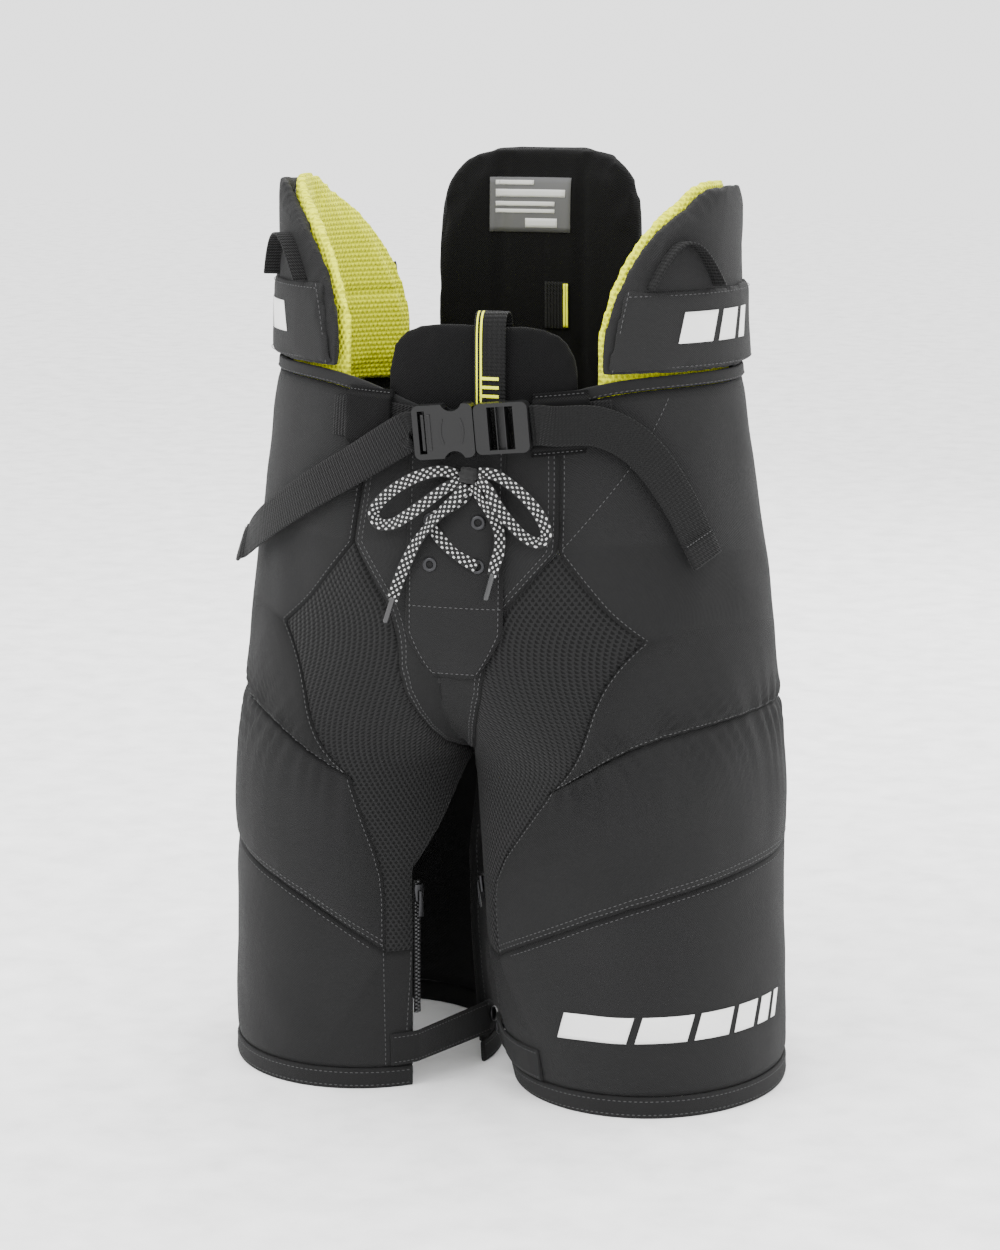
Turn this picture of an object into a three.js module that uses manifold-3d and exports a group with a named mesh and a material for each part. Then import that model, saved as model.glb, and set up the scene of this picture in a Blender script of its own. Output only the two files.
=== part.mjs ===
// Ice-hockey pants: a sewn shell of fabric panels on two legs and a seat, hip wings, back and belly
// pads, a belt with a side-release buckle, a laced fly, and zipped inner-leg slits with snap tabs.
// Millimetres, +Z up, the wearer faces -Y, the wearer's left is +X. The hems stand on z = 0.
import * as THREE from "three";
import { mergeVertices } from "three/addons/utils/BufferGeometryUtils.js";
import Module from "manifold-3d";

// ---- Driving dimensions ----
const crotchHeight = 208; // inseam, from the hem to the crotch seam
const waistHeight = 459; // where the waist binding is sewn on
const waistDip = 25; // how far the front waist edge dips behind the buckle
const waistDipX = 6;
const waistDipWidth = 62;
const hemHalfWidth = 185; // centre line to the outside of the leg
const kneeHalfWidth = 182;
const crotchHalfWidth = 179;
const hipHalfWidth = 166;
const waistHalfWidth = 151;
const padTopHalfWidth = 146;
const hemHalfDepth = 98; // front to back, halved
const crotchHalfDepth = 110;
const hipHalfDepth = 121;
const waistHalfDepth = 105;
const crotchForward = 5; // the crotch section sits this far behind the hem's
const crotchLean = 15; // the crotch hangs this far towards the wearer's right
const legGap = 9.5; // each leg's inner face to the centre line, at the hem
const mergeHeight = 120; // the two legs blend into one waist over this height
const shellThickness = 2.2;
const seamGap = 0.2; // each panel stops this far short of its seam
const layerGap = 0.35; // clearance between layers that touch
const hemBandHeight = 14;
const hemBandProud = 0.5; // the hem is folded double, so it stands proud
const bindingHeight = 8;
const bindingThickness = 3.4;
const bindingOut = 0.6;

// Seam places on a leg: an angle round the leg (0 front, 90 outside, 180 back) and a height
const gussetAngle = 32;
const gussetCorner = waistHeight - 99; // where the gusset's side seam turns in towards the crotch
const meshCornerAngle = 51;
const meshCornerHeight = crotchHeight + 95;
const puckerHeight = crotchHeight; // inner end of the gathered thigh seam
const puckerRise = 42; // how much higher it meets the side seam
const kneeSeamHeight = crotchHeight - 115; // inner end of the lower thigh seam
const kneeSeamRise = 64;
const sideSeamAngle = 108;
const slitTop = crotchHeight - 62; // top of the zipped slit on the inside of the leg
const slitFrontAngle = { right: -36, left: -60 }; // the right leg's slit hangs open
const slitRearAngle = { right: 283, left: 294 };
const bindingAngle = { right: -26, left: -42 }; // edge of the thigh panel above the slit

// Closure
const webbingWidth = 25;
const webbingThickness = 1.6;
const beltHeight = waistHeight - 25;
const buckleX = 14;
const buckleTilt = 5; // degrees, the wearer's left end up
const buckleWidth = webbingWidth + 8;
const socketLength = 38;
const plugLength = 34;
const buckleThickness = 11;
const prongReach = 17;
const keeperWidth = 32;
const keeperPlace = { left: 46, right: -42 };
const eyeletX = 15;
const placketHalfWidth = 31;
const placketFoot = crotchHeight + 73;
const placketThickness = 1.2;
const placketOut = 1;
const placketRowHeight = 16.6; // the longest facet, so that it stays clear of the gusset
const laceDiameter = 3.6;
const knotPlace = { x: 10, z: waistHeight - 52 };
const knotRadius = 5.8;
const knotLift = 5.4;
const tabHeight = 22;
const tabThickness = 1.8;
const tabBase = 16;
const tabStartAngle = -27;
const capRadius = 5;
const capThickness = 2.4;
const zipWidth = 5;
const zipInset = 2.52694; // from the slit's front edge to the middle of the chain, round the leg
const zipFoot = 50;
const sliderHeight = 11;

// Pads
const wingBase = waistHeight + 8.1;
const wingTop = wingBase + 114.9;
const wingFrontAngle = 44;
const wingRearAngle = 130;
const wingPadOut = 0.4;
const wingLayerGap = 1.05;
const wingPadThickness = 6;
const wingInsertThickness = 2.4;
const wingLinerThickness = 4;
const wingLinerTongue = 24; // how far the liner reaches down inside the waist
const bandHeight = 52;
const bandThickness = 4.5;
const loopFrontAngle = 57;
const loopRearAngle = 76;
const loopHeight = 27;
const loopWidth = 12;
const backPadX = -4;
const backPadHalfWidth = 74;
const backPadBase = waistHeight - 59;
const backPadTop = waistHeight + 138;
const backPadThickness = 13;
const bellyPadHalfWidth = 62;
const bellyPadX = 12;
const bellyPadBase = waistHeight - 67;
const bellyPadTop = waistHeight + 40;
const bellyPadThickness = 11;
const pullX = 20;
const pullWidth = 20;
const pullFoot = waistHeight - 12;
const guardFoot = 66;
const guardTop = crotchHeight + 24;
const guardFrontAngle = -6;
const guardRearAngle = 98;
const guardGap = 1.9; // loose in its pocket
const guardThickness = 2;
const guardFoamThickness = 7;
const tailbonePadThickness = 9;

// Colours
const cloth = { color: 0x3c3c3d, roughness: 0.85, metalness: 0 };
const meshCloth = { color: 0x2b2b2c, roughness: 0.9, metalness: 0 };
const lining = { color: 0x121212, roughness: 0.9, metalness: 0 };
const yellowMesh = { color: 0xd8dc10, roughness: 0.8, metalness: 0 };
const webbing = { color: 0x191919, roughness: 0.75, metalness: 0 };
const plastic = { color: 0x262627, roughness: 0.45, metalness: 0 };
const foam = { color: 0x8b8d90, roughness: 0.9, metalness: 0 };
const laceCord = { color: 0x2a2a2a, roughness: 0.8, metalness: 0 };
const metal = { color: 0x3a3b3d, roughness: 0.35, metalness: 1 };
const labelCloth = { color: 0xb9bbbd, roughness: 0.7, metalness: 0 };

const wasm = await Module();
wasm.setup();
const pants = new THREE.Group();
const radians = THREE.MathUtils.degToRad;
const sides = [
  { name: "left", sign: 1 },
  { name: "right", sign: -1 },
];

// ---- The body surface ----

// A smooth curve through [height, value] knots.
function profile(knots, z) {
  const last = knots.length - 1;
  let i = 0;
  while (i < last - 1 && z > knots[i + 1][0]) i += 1;
  const slope = (k) => {
    const a = knots[Math.max(0, k - 1)];
    const b = knots[Math.min(last, k + 1)];
    return (b[1] - a[1]) / (b[0] - a[0]);
  };
  const [z0, v0] = knots[i];
  const [z1, v1] = knots[i + 1];
  const h = z1 - z0;
  const t = THREE.MathUtils.clamp((z - z0) / h, 0, 1);
  const t2 = t * t;
  const t3 = t2 * t;
  const ends = (2 * t3 - 3 * t2 + 1) * v0 + (3 * t2 - 2 * t3) * v1;
  return ends + (t3 - 2 * t2 + t) * h * slope(i) + (t3 - t2) * h * slope(i + 1);
}

const hipHeight = crotchHeight + 0.37 * (waistHeight - crotchHeight);
const widthKnots = [
  [0, hemHalfWidth],
  [0.48 * crotchHeight, kneeHalfWidth],
  [crotchHeight, crotchHalfWidth],
  [hipHeight + 30, hipHalfWidth],
  [waistHeight + 6, waistHalfWidth],
  [backPadTop, padTopHalfWidth],
];
const depthKnots = [
  [0, hemHalfDepth],
  [crotchHeight, crotchHalfDepth],
  [hipHeight, hipHalfDepth],
  [waistHeight + 6, waistHalfDepth],
  [backPadTop, waistHalfDepth],
];
const forwardKnots = [
  [0, 0],
  [crotchHeight, crotchForward],
  [hipHeight, crotchForward],
  [waistHeight + 6, 0],
  [backPadTop, 0],
];
const leanKnots = [
  [0, 0],
  [0.48 * crotchHeight, -0.75 * crotchLean],
  [crotchHeight, -crotchLean],
  [hipHeight + 30, -0.4 * crotchLean],
  [waistHeight - 40, 0],
  [backPadTop, 0],
];
const squareKnots = [
  [0, 2],
  [0.3 * crotchHeight, 2.6],
  [0.5 * crotchHeight, 2.8],
  [0.85 * crotchHeight, 2.5],
  [crotchHeight + 32, 2],
  [backPadTop, 2],
];

function section(sign, z) {
  const lean = profile(leanKnots, z);
  const reach = profile(widthKnots, z) - sign * lean;
  const gap = legGap * Math.pow(THREE.MathUtils.clamp(1 - z / crotchHeight, 0, 1), 0.4);
  const joined = THREE.MathUtils.smoothstep(z, crotchHeight, crotchHeight + mergeHeight);
  const centre = z < crotchHeight ? (reach + gap) / 2 : (reach / 2) * (1 - joined);
  return {
    lean,
    centre,
    wide: reach - centre,
    deep: profile(depthKnots, z),
    forward: profile(forwardKnots, z),
    square: profile(squareKnots, z),
  };
}

function bare(sign, angle, z) {
  const s = section(sign, z);
  const a = radians(angle);
  const power = angle < 0 || angle > 180 ? s.square : 2;
  const across = Math.pow(Math.abs(Math.sin(a)) / s.wide, power);
  const along = Math.pow(Math.abs(Math.cos(a)) / s.deep, power);
  const r = Math.pow(across + along, -1 / power);
  const x = s.lean + sign * (s.centre + r * Math.sin(a));
  return new THREE.Vector3(x, s.forward - r * Math.cos(a), z);
}

// The angle at which a leg's section meets the centre plane, above the crotch.
function centreAngle(sign, z) {
  const s = section(sign, z);
  const depth = s.deep * Math.pow(Math.max(0, 1 - Math.pow(s.centre / s.wide, s.square)), 1 / s.square);
  return -THREE.MathUtils.radToDeg(Math.atan2(s.centre, depth));
}

function normalAt(sign, angle, z) {
  const round = bare(sign, angle + 0.5, z).sub(bare(sign, angle - 0.5, z));
  const up = bare(sign, angle, z + 0.5).sub(bare(sign, angle, z - 0.5));
  const n = round.cross(up).multiplyScalar(sign);
  const onPlane = Math.abs(bare(sign, angle, z).x - section(sign, z).lean) < 0.02;
  if (onPlane && z > crotchHeight - 4) n.x = 0;
  return n.normalize();
}

const skin = (sign, angle, z, out = 0) =>
  bare(sign, angle, z).addScaledVector(normalAt(sign, angle, z), out);

// The angle at which the front of a section reaches a given x.
function angleAtX(x, z) {
  const sign = x < profile(leanKnots, z) ? -1 : 1;
  const s = section(sign, z);
  const across = sign * (x - s.lean) - s.centre;
  const power = across < 0 ? s.square : 2;
  const inside = Math.max(0, 1 - Math.pow(Math.abs(across) / s.wide, power));
  const depth = s.deep * Math.pow(inside, 1 / power);
  return { sign, angle: THREE.MathUtils.radToDeg(Math.atan2(across, depth)) };
}

const front = (x, z, out = 0) => {
  const at = angleAtX(x, z);
  return skin(at.sign, at.angle, z, out);
};

// ---- Making solids ----

function add(name, geometry, look) {
  const mesh = new THREE.Mesh(geometry, new THREE.MeshStandardMaterial(look));
  mesh.name = name;
  pants.add(mesh);
  return mesh;
}

function fromTriangles(points, faces) {
  const geometry = new THREE.BufferGeometry();
  const numbers = points.flatMap((p) => [p.x, p.y, p.z]);
  geometry.setAttribute("position", new THREE.Float32BufferAttribute(numbers, 3));
  let volume = 0;
  for (const [a, b, c] of faces) volume += points[a].dot(points[b].clone().cross(points[c]));
  geometry.setIndex(faces.flatMap(([a, b, c]) => (volume > 0 ? [a, b, c] : [a, c, b])));
  return geometry.toNonIndexed();
}

// A closed solid between two grids of points, rows by columns. Grids may close on themselves.
function between(outer, inner, closed = false) {
  const rows = outer.length;
  const columns = outer[0].length;
  const points = [...outer.flat(), ...inner.flat()];
  const half = rows * columns;
  const faces = [];
  const quad = (a, b, c, d) => faces.push([a, b, c], [a, c, d]);
  const at = (row, column) => row * columns + (column % columns);
  const lastColumn = closed ? columns : columns - 1;
  for (let row = 0; row < rows - 1; row += 1) {
    for (let column = 0; column < lastColumn; column += 1) {
      const [a, b] = [at(row, column), at(row, column + 1)];
      const [c, d] = [at(row + 1, column + 1), at(row + 1, column)];
      quad(a, b, c, d);
      quad(half + d, half + c, half + b, half + a);
    }
  }
  for (let column = 0; column < lastColumn; column += 1) {
    const [a, b] = [at(0, column), at(0, column + 1)];
    const [c, d] = [at(rows - 1, column), at(rows - 1, column + 1)];
    quad(b, a, half + a, half + b);
    quad(c, d, half + d, half + c);
  }
  for (let row = 0; row < rows - 1 && !closed; row += 1) {
    const [a, b] = [at(row, 0), at(row + 1, 0)];
    const [c, d] = [at(row, columns - 1), at(row + 1, columns - 1)];
    quad(a, b, half + b, half + a);
    quad(d, c, half + c, half + d);
  }
  return fromTriangles(points, faces);
}

// A seam through corner places, as evenly shared steps: counts gives the steps of each stretch.
function seam(places, counts) {
  const line = [];
  places.slice(0, -1).forEach((from, i) => {
    const to = places[i + 1];
    for (let k = 0; k < counts[i]; k += 1) {
      const t = k / counts[i];
      line.push([from[0] + t * (to[0] - from[0]), from[1] + t * (to[1] - from[1])]);
    }
  });
  line.push(places[places.length - 1]);
  return line;
}

// Fills four seams: bottom and top run the same way round, and near and far run upwards.
function fill(bottom, top, near, far) {
  const columns = bottom.length - 1;
  const rows = near.length - 1;
  const grid = [];
  for (let j = 0; j <= rows; j += 1) {
    const v = j / rows;
    const row = [];
    for (let i = 0; i <= columns; i += 1) {
      const u = i / columns;
      row.push([0, 1].map((k) => {
        const ruled = (1 - v) * bottom[i][k] + v * top[i][k] + (1 - u) * near[j][k] + u * far[j][k];
        const low = (1 - u) * bottom[0][k] + u * bottom[columns][k];
        const high = (1 - u) * top[0][k] + u * top[columns][k];
        return ruled - (1 - v) * low - v * high;
      }));
    }
    grid.push(row);
  }
  return grid;
}

// Draws the rim of a grid of points in by a small gap, along the surface.
function drawIn(points, normals, gap, closed = false) {
  const rows = points.length;
  const columns = points[0].length;
  const moved = points.map((row) => row.map((p) => p.clone()));
  const shift = (j, i, ahead, behind, inside) => {
    const tangent = ahead.clone().sub(behind).normalize();
    const inward = normals[j][i].clone().cross(tangent).normalize();
    const towards = inside.clone().sub(points[j][i]);
    moved[j][i].addScaledVector(inward, inward.dot(towards) > 0 ? gap : -gap);
  };
  for (let i = 0; i < columns; i += 1) {
    const a = closed ? (i + 1) % columns : Math.min(i + 1, columns - 1);
    const b = closed ? (i + columns - 1) % columns : Math.max(i - 1, 0);
    shift(0, i, points[0][a], points[0][b], points[1][i]);
    shift(rows - 1, i, points[rows - 1][a], points[rows - 1][b], points[rows - 2][i]);
  }
  for (let j = 0; j < rows && !closed; j += 1) {
    const [a, b] = [Math.min(j + 1, rows - 1), Math.max(j - 1, 0)];
    shift(j, 0, points[a][0], points[b][0], points[j][1]);
    shift(j, columns - 1, points[a][columns - 1], points[b][columns - 1], points[j][columns - 2]);
  }
  return moved;
}

// A layer over a grid of [angle, height] places, from one depth under the skin to another.
// Each place may carry its own side as a third number.
function layer(sign, grid, out, inner, gap = seamGap, finish = "") {
  const ring = finish === "ring";
  const side = (place) => place[2] ?? sign;
  const normals = grid.map((row) => row.map((p) => normalAt(side(p), p[0], p[1])));
  const points = grid.map((row) => row.map((p) => bare(side(p), p[0], p[1])));
  const rim = drawIn(points, normals, gap, ring);
  const share = (k, list) => k / (list.length - 1);
  const depth = (d, j, i) => (typeof d === "function" ? d(share(j, grid), share(i, grid[0])) : d);
  const lift = (d) => rim.map((row, j) => row.map((p, i) => {
    const lifted = p.clone().addScaledVector(normals[j][i], depth(d, j, i));
    if (finish === "flat foot" && j === 0) lifted.z = 0;
    return lifted;
  }));
  return between(lift(out), lift(inner), ring);
}

// A strap of rectangular section along points. Faces give the way its flat side looks.
function strap(points, looks, width, thickness) {
  const rings = points.map((p, i) => {
    const ahead = points[Math.min(i + 1, points.length - 1)];
    const behind = points[Math.max(i - 1, 0)];
    const tangent = ahead.clone().sub(behind).normalize();
    const across = tangent.clone().cross(looks[i]).normalize();
    const face = across.clone().cross(tangent).normalize();
    return [[1, 1], [-1, 1], [-1, 0], [1, 0]].map(([a, b]) =>
      p.clone().addScaledVector(across, (a * width) / 2).addScaledVector(face, b * thickness));
  });
  const faces = [];
  rings.slice(0, -1).forEach((_, k) => {
    for (let c = 0; c < 4; c += 1) {
      const [a, b] = [4 * k + c, 4 * k + ((c + 1) % 4)];
      faces.push([a, b, b + 4], [a, b + 4, a + 4]);
    }
  });
  const end = 4 * (rings.length - 1);
  faces.push([2, 1, 0], [3, 2, 0], [end, end + 1, end + 2], [end, end + 2, end + 3]);
  return fromTriangles(rings.flat(), faces);
}

function cord(points, diameter, steps, corners = 8) {
  const shape = new THREE.Shape();
  for (let i = 0; i < corners; i += 1) {
    const a = (2 * Math.PI * i) / corners;
    const [x, y] = [(diameter / 2) * Math.cos(a), (diameter / 2) * Math.sin(a)];
    if (i) shape.lineTo(x, y);
    else shape.moveTo(x, y);
  }
  shape.closePath();
  const extrudePath = new THREE.CatmullRomCurve3(points);
  return new THREE.ExtrudeGeometry(shape, { extrudePath, steps, bevelEnabled: false });
}

function solid(geometry) {
  const shape = geometry.clone();
  for (const key of ["normal", "uv"]) shape.deleteAttribute(key);
  const merged = mergeVertices(shape, 1e-3);
  return new wasm.Manifold(new wasm.Mesh({
    numProp: 3,
    vertProperties: merged.attributes.position.array,
    triVerts: new Uint32Array(merged.index.array),
  }));
}

function toGeometry(manifold) {
  const { vertProperties, triVerts } = manifold.getMesh();
  const geometry = new THREE.BufferGeometry();
  geometry.setAttribute("position", new THREE.BufferAttribute(new Float32Array(vertProperties), 3));
  geometry.setIndex(new THREE.BufferAttribute(new Uint32Array(triVerts), 1));
  return geometry.toNonIndexed();
}

const box = (x0, x1, y0, y1, z0, z1) =>
  new THREE.BoxGeometry(x1 - x0, y1 - y0, z1 - z0).translate((x0 + x1) / 2, (y0 + y1) / 2, (z0 + z1) / 2);

const pair = (base, side) => `${base}_${side.name}`;

// ---- Shell panels ----

// The top edge of the shell dips behind the buckle.
function waistEdge(sign, angle) {
  if (angle > 90) return waistHeight;
  const x = bare(sign, angle, waistHeight).x;
  return waistHeight - waistDip * Math.exp(-Math.pow((x - waistDipX) / waistDipWidth, 2));
}

const crotchEnd = [-72, crotchHeight + 6];
const gussetBend = [[-43, crotchHeight + 18], [-10, crotchHeight + 57], [11, crotchHeight + 93]];
const seatSeamFoot = crotchHeight + 34; // where the seat seam meets the back centre line
const puckerOuter = puckerHeight + puckerRise;
const kneeOuter = kneeSeamHeight + kneeSeamRise;
const puckerBend = [[10, puckerHeight + 24], [34, puckerHeight + 38], [74, puckerOuter + 3]];
const sideBend = [[sideSeamAngle, puckerOuter + 40], [sideSeamAngle, gussetCorner - 20]];
const join = (first, ...rest) => rest.reduce((whole, line) => [...whole, ...line.slice(1)], first);
const reversed = (line) => [...line].reverse();

// All the seams of one leg, each as one list of [angle, height] places that its two panels share.
function seamsOf(sign, name) {
  const onWaist = ([angle]) => [angle, waistEdge(sign, angle)];
  const slitFront = slitFrontAngle[name];
  const slitRear = slitRearAngle[name];
  const binding = bindingAngle[name];
  const waistFront = seam([[gussetAngle], [sideSeamAngle]], [11]).map(onWaist);
  const corner = [gussetAngle, gussetCorner];
  const meshCorner = [meshCornerAngle, meshCornerHeight];
  const inner = [-13, puckerHeight];
  const knee = [binding, kneeSeamHeight];
  const kneeSide = [sideSeamAngle, kneeOuter];
  const puckerSide = [sideSeamAngle, puckerOuter];
  const onBackLine = ([z]) => [180 - centreAngle(sign, z), z];
  const backLine = seam([[seatSeamFoot], [waistHeight]], [13]).map(onBackLine);
  const crotchLine = seam([[crotchHeight + 3], [seatSeamFoot]], [3]).map(onBackLine);
  return {
    waistFront,
    backLine,
    gussetUpper: seam([corner, waistFront[0]], [3]),
    gussetLower: seam([crotchEnd, ...gussetBend, corner], [2, 3, 2, 1]),
    meshTop: seam([corner, meshCorner], [4]),
    bindingUpper: seam([inner, [21, crotchHeight + 53], meshCorner], [3, 3]),
    bindingLower: seam([knee, [binding, slitTop - 4], inner], [3, 4]),
    meshFoot: seam([[slitFront, kneeSeamHeight], knee], [4]),
    meshInner: seam([[slitFront, kneeSeamHeight], [slitFront, slitTop], crotchEnd], [3, 2]),
    pucker: seam([inner, ...puckerBend, puckerSide], [2, 2, 3, 4]),
    kneeSeam: seam([knee, [12, kneeSeamHeight + 46], [54, kneeOuter - 3], kneeSide], [4, 3, 4]),
    slitFrontFoot: seam([[slitFront, hemBandHeight], [slitFront, kneeSeamHeight]], [4]),
    sideUpper: seam([puckerSide, ...sideBend, waistFront[11]], [6, 4, 3]),
    sideThigh: seam([kneeSide, puckerSide], [7]),
    sideLower: seam([[sideSeamAngle, hemBandHeight], kneeSide], [4]),
    seatSeam: seam([puckerSide, [190, crotchHeight + 42], backLine[0]], [5, 7]),
    rearInner: [
      ...seam([[slitRear, hemBandHeight], [slitRear, slitTop], [271, crotchHeight - 3]], [4, 3]),
      ...crotchLine,
    ],
    hemFront: seam([[slitFront, hemBandHeight], [sideSeamAngle, hemBandHeight]], [15]),
    hemRear: seam([[sideSeamAngle, hemBandHeight], [slitRear, hemBandHeight]], [12]),
  };
}

for (const side of sides) {
  const { sign, name } = side;
  const s = seamsOf(sign, name);
  side.seams = s;
  const panel = (node, grid, look) => add(pair(node, side), layer(sign, grid, 0, -shellThickness), look);

  const sideNear = join(s.bindingUpper, reversed(s.meshTop), s.gussetUpper);
  panel("side_panel", fill(s.pucker, s.waistFront, sideNear, s.sideUpper), cloth);
  panel("thigh_panel", fill(s.kneeSeam, s.pucker, s.bindingLower, s.sideThigh), cloth);
  const lowerTop = join(s.meshFoot, s.kneeSeam);
  panel("lower_panel", fill(s.hemFront, lowerTop, s.slitFrontFoot, s.sideLower), cloth);
  const meshNear = join(s.meshInner, s.gussetLower);
  const meshFar = join(s.bindingLower, s.bindingUpper);
  panel("mesh_panel", fill(s.meshFoot, s.meshTop, meshNear, meshFar), meshCloth);

  const waistRear = seam([[sideSeamAngle], [180]], [12]).map(([a]) => [a, waistEdge(sign, a)]);
  panel("seat_panel", fill(s.seatSeam, waistRear, s.sideUpper, s.backLine), cloth);
  const rearSide = join(s.sideLower, s.sideThigh);
  panel("rear_leg_panel", fill(s.hemRear, s.seatSeam, rearSide, s.rearInner), cloth);

  const hemPlaces = join(s.hemFront, s.hemRear).map(([a]) => a);
  const hemGrid = [0, hemBandHeight].map((z) => hemPlaces.map((a) => [a, z]));
  const hem = layer(sign, hemGrid, hemBandProud, -shellThickness, seamGap, "flat foot");
  add(pair("hem_band", side), hem, cloth);
}

// The gusset crosses the centre line: its columns run from the right leg's seam to the left leg's.
const gussetHalf = (side) => {
  const { sign, seams } = side;
  const across = 5;
  const far = join(seams.gussetLower, seams.gussetUpper);
  const topHeight = waistEdge(1, 0);
  const lowest = crotchHeight + 3;
  const near = seam([[lowest], [topHeight]], [far.length - 1]).map(([z]) => [centreAngle(sign, z), z]);
  const foot = seam([near[0], far[0]], [across]);
  const top = seam([[0], [gussetAngle]], [across]).map(([a]) => [a, waistEdge(sign, a)]);
  return fill(foot, top, near, far).map((row) => row.map(([a, z]) => [a, z, sign]));
};
const gussetHalves = [gussetHalf(sides[1]), gussetHalf(sides[0])];
const gussetGrid = gussetHalves[0].map((row, j) => [...reversed(row), ...gussetHalves[1][j].slice(1)]);
add("crotch_gusset", layer(1, gussetGrid, 0, -shellThickness), cloth);

// A grid on the front or back given by x and height.
const onFront = (x, z) => {
  const at = angleAtX(x, z);
  return [at.angle, z, at.sign];
};
const onBack = (x, z) => {
  const at = angleAtX(x, z);
  return [180 - at.angle, z, at.sign];
};
function spread(from, to, steps) {
  return Array.from({ length: steps + 1 }, (_, i) => from + ((to - from) * i) / steps);
}

const placketTop = waistEdge(1, 0) - 5;
const placketSteps = Math.ceil((placketTop - placketFoot) / placketRowHeight);
const placketRows = spread(placketFoot, placketTop, placketSteps);
const placketGrid = placketRows.map((z) => {
  const narrow = Math.sqrt(THREE.MathUtils.clamp((z - placketFoot + 6) / 34, 0.1, 1));
  return spread(-placketHalfWidth * narrow, placketHalfWidth * narrow, 6).map((x) => onFront(x, z));
});
add("fly_placket", layer(1, placketGrid, placketOut + placketThickness, placketOut), cloth);

// The waist binding runs right round the top edge, in front of and behind the shell's cloth.
const ringAngles = [
  ...spread(0, 180, 26).map((a) => [a, 1]),
  ...spread(180, 0, 26).slice(1, -1).map((a) => [a, -1]),
];
const bindingGrid = [layerGap, bindingHeight].map((rise) =>
  ringAngles.map(([a, sign]) => [a, waistEdge(sign, a) + rise, sign]));
add("waistband", layer(1, bindingGrid, bindingOut, bindingOut - bindingThickness, 0.01, "ring"), cloth);

// ---- Closure: belt, buckle, laces ----

// A webbing strap over the skin through [x, height, out] places on the front.
function laid(places, steps, width, thickness) {
  const curve = new THREE.CatmullRomCurve3(places.map((p) => new THREE.Vector3(...p)));
  const run = spread(0, 1, steps).map((u) => curve.getPointAt(u));
  const looks = run.map((p) => {
    const at = angleAtX(p.x, p.y);
    return normalAt(at.sign, at.angle, p.y);
  });
  return strap(run.map((p) => front(p.x, p.y, p.z)), looks, width, thickness);
}

const beltOut = placketOut + placketThickness + layerGap;
add("belt_webbing", laid([
  [-84, beltHeight + 4, beltOut],
  [-50, beltHeight + 3, beltOut],
  [-10, beltHeight - 1, beltOut + 0.3],
  [buckleX, beltHeight, beltOut + 0.3],
  [55, beltHeight + 4, beltOut],
  [92, beltHeight + 7, beltOut],
], 24, webbingWidth, webbingThickness), webbing);

// Keepers: a band of shell cloth arched over the belt.
const keeperLift = beltOut + webbingThickness + layerGap + 0.3;
const keeperThickness = 1.4;
const keeperFoot = bindingOut + layerGap;
for (const side of sides) {
  const x0 = side.sign > 0 ? keeperPlace.left : keeperPlace.right - keeperWidth;
  const middle = beltHeight + (side.sign > 0 ? 5 : 3.5);
  const slope = side.sign > 0 ? 0.09 : -0.03;
  const beltAt = (x) => middle + slope * (x - x0 - keeperWidth / 2);
  const rows = [-1.5, -1.3, -1.1, 0, 1.1, 1.3, 1.5];
  const columns = spread(x0, x0 + keeperWidth, 6);
  const grid = rows.map((r) => columns.map((x) => onFront(x, beltAt(x) + (r * webbingWidth) / 2)));
  const rise = (v) => (v < 0.3 || v > 0.7 ? keeperFoot : keeperLift);
  add(pair("belt_keeper", side), layer(1, grid, (v) => rise(v) + keeperThickness, rise), lining);
}

// The buckle lies in its own flat frame: u along the belt, v up, w outwards.
const buckleOut = beltOut + webbingThickness + 2 * layerGap + 1;
const buckle = new THREE.Group();
const buckleNormal = normalAt(1, angleAtX(buckleX, beltHeight).angle, beltHeight);
buckleNormal.z = 0;
buckleNormal.normalize();
const along = new THREE.Vector3(0, 0, 1).cross(buckleNormal).negate();
const buckleFrame = new THREE.Matrix4().makeBasis(
  along.clone().negate(),
  new THREE.Vector3(0, 0, 1),
  buckleNormal,
);
buckle.setRotationFromMatrix(buckleFrame);
buckle.rotateZ(radians(buckleTilt));
buckle.position.copy(front(buckleX, beltHeight + 2, buckleOut));
pants.add(buckle);

function addTo(group, name, geometry, look) {
  const mesh = new THREE.Mesh(geometry, new THREE.MeshStandardMaterial(look));
  mesh.name = name;
  group.add(mesh);
}

const half = buckleWidth / 2;
const wall = 2.4;
const slotHalf = webbingWidth / 2 + 0.6;
const prongTop = half - wall - 0.6;
function rounded(u0, u1, v0, v1, r, w0, w1) {
  const s = new THREE.Shape();
  s.moveTo(u0 + r, v0).lineTo(u1 - r, v0).absarc(u1 - r, v0 + r, r, -Math.PI / 2, 0);
  s.lineTo(u1, v1 - r).absarc(u1 - r, v1 - r, r, 0, Math.PI / 2);
  s.lineTo(u0 + r, v1).absarc(u0 + r, v1 - r, r, Math.PI / 2, Math.PI);
  s.lineTo(u0, v0 + r).absarc(u0 + r, v0 + r, r, Math.PI, 1.5 * Math.PI);
  const plate = new THREE.ExtrudeGeometry(s, { depth: w1 - w0, bevelEnabled: false, curveSegments: 4 });
  return plate.translate(0, 0, w0);
}

let socket = solid(rounded(-socketLength, 0, -half, half, 4, 0, buckleThickness));
const mouth = box(-24, 1, 0.8 - half + wall, half - wall, wall, buckleThickness - wall);
socket = socket.subtract(solid(mouth));
const beltSlot = box(3.5 - socketLength, 8 - socketLength, -slotHalf, slotHalf, -1, buckleThickness + 1);
socket = socket.subtract(solid(beltSlot));
for (const v of [-1, 1]) {
  const notch = new THREE.CylinderGeometry(7, 7, 2 * buckleThickness, 20).rotateX(Math.PI / 2);
  socket = socket.subtract(solid(notch.translate(-13, v * (half + 2.6), buckleThickness / 2)));
}
addTo(buckle, "buckle_socket", toGeometry(socket), plastic);

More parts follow.
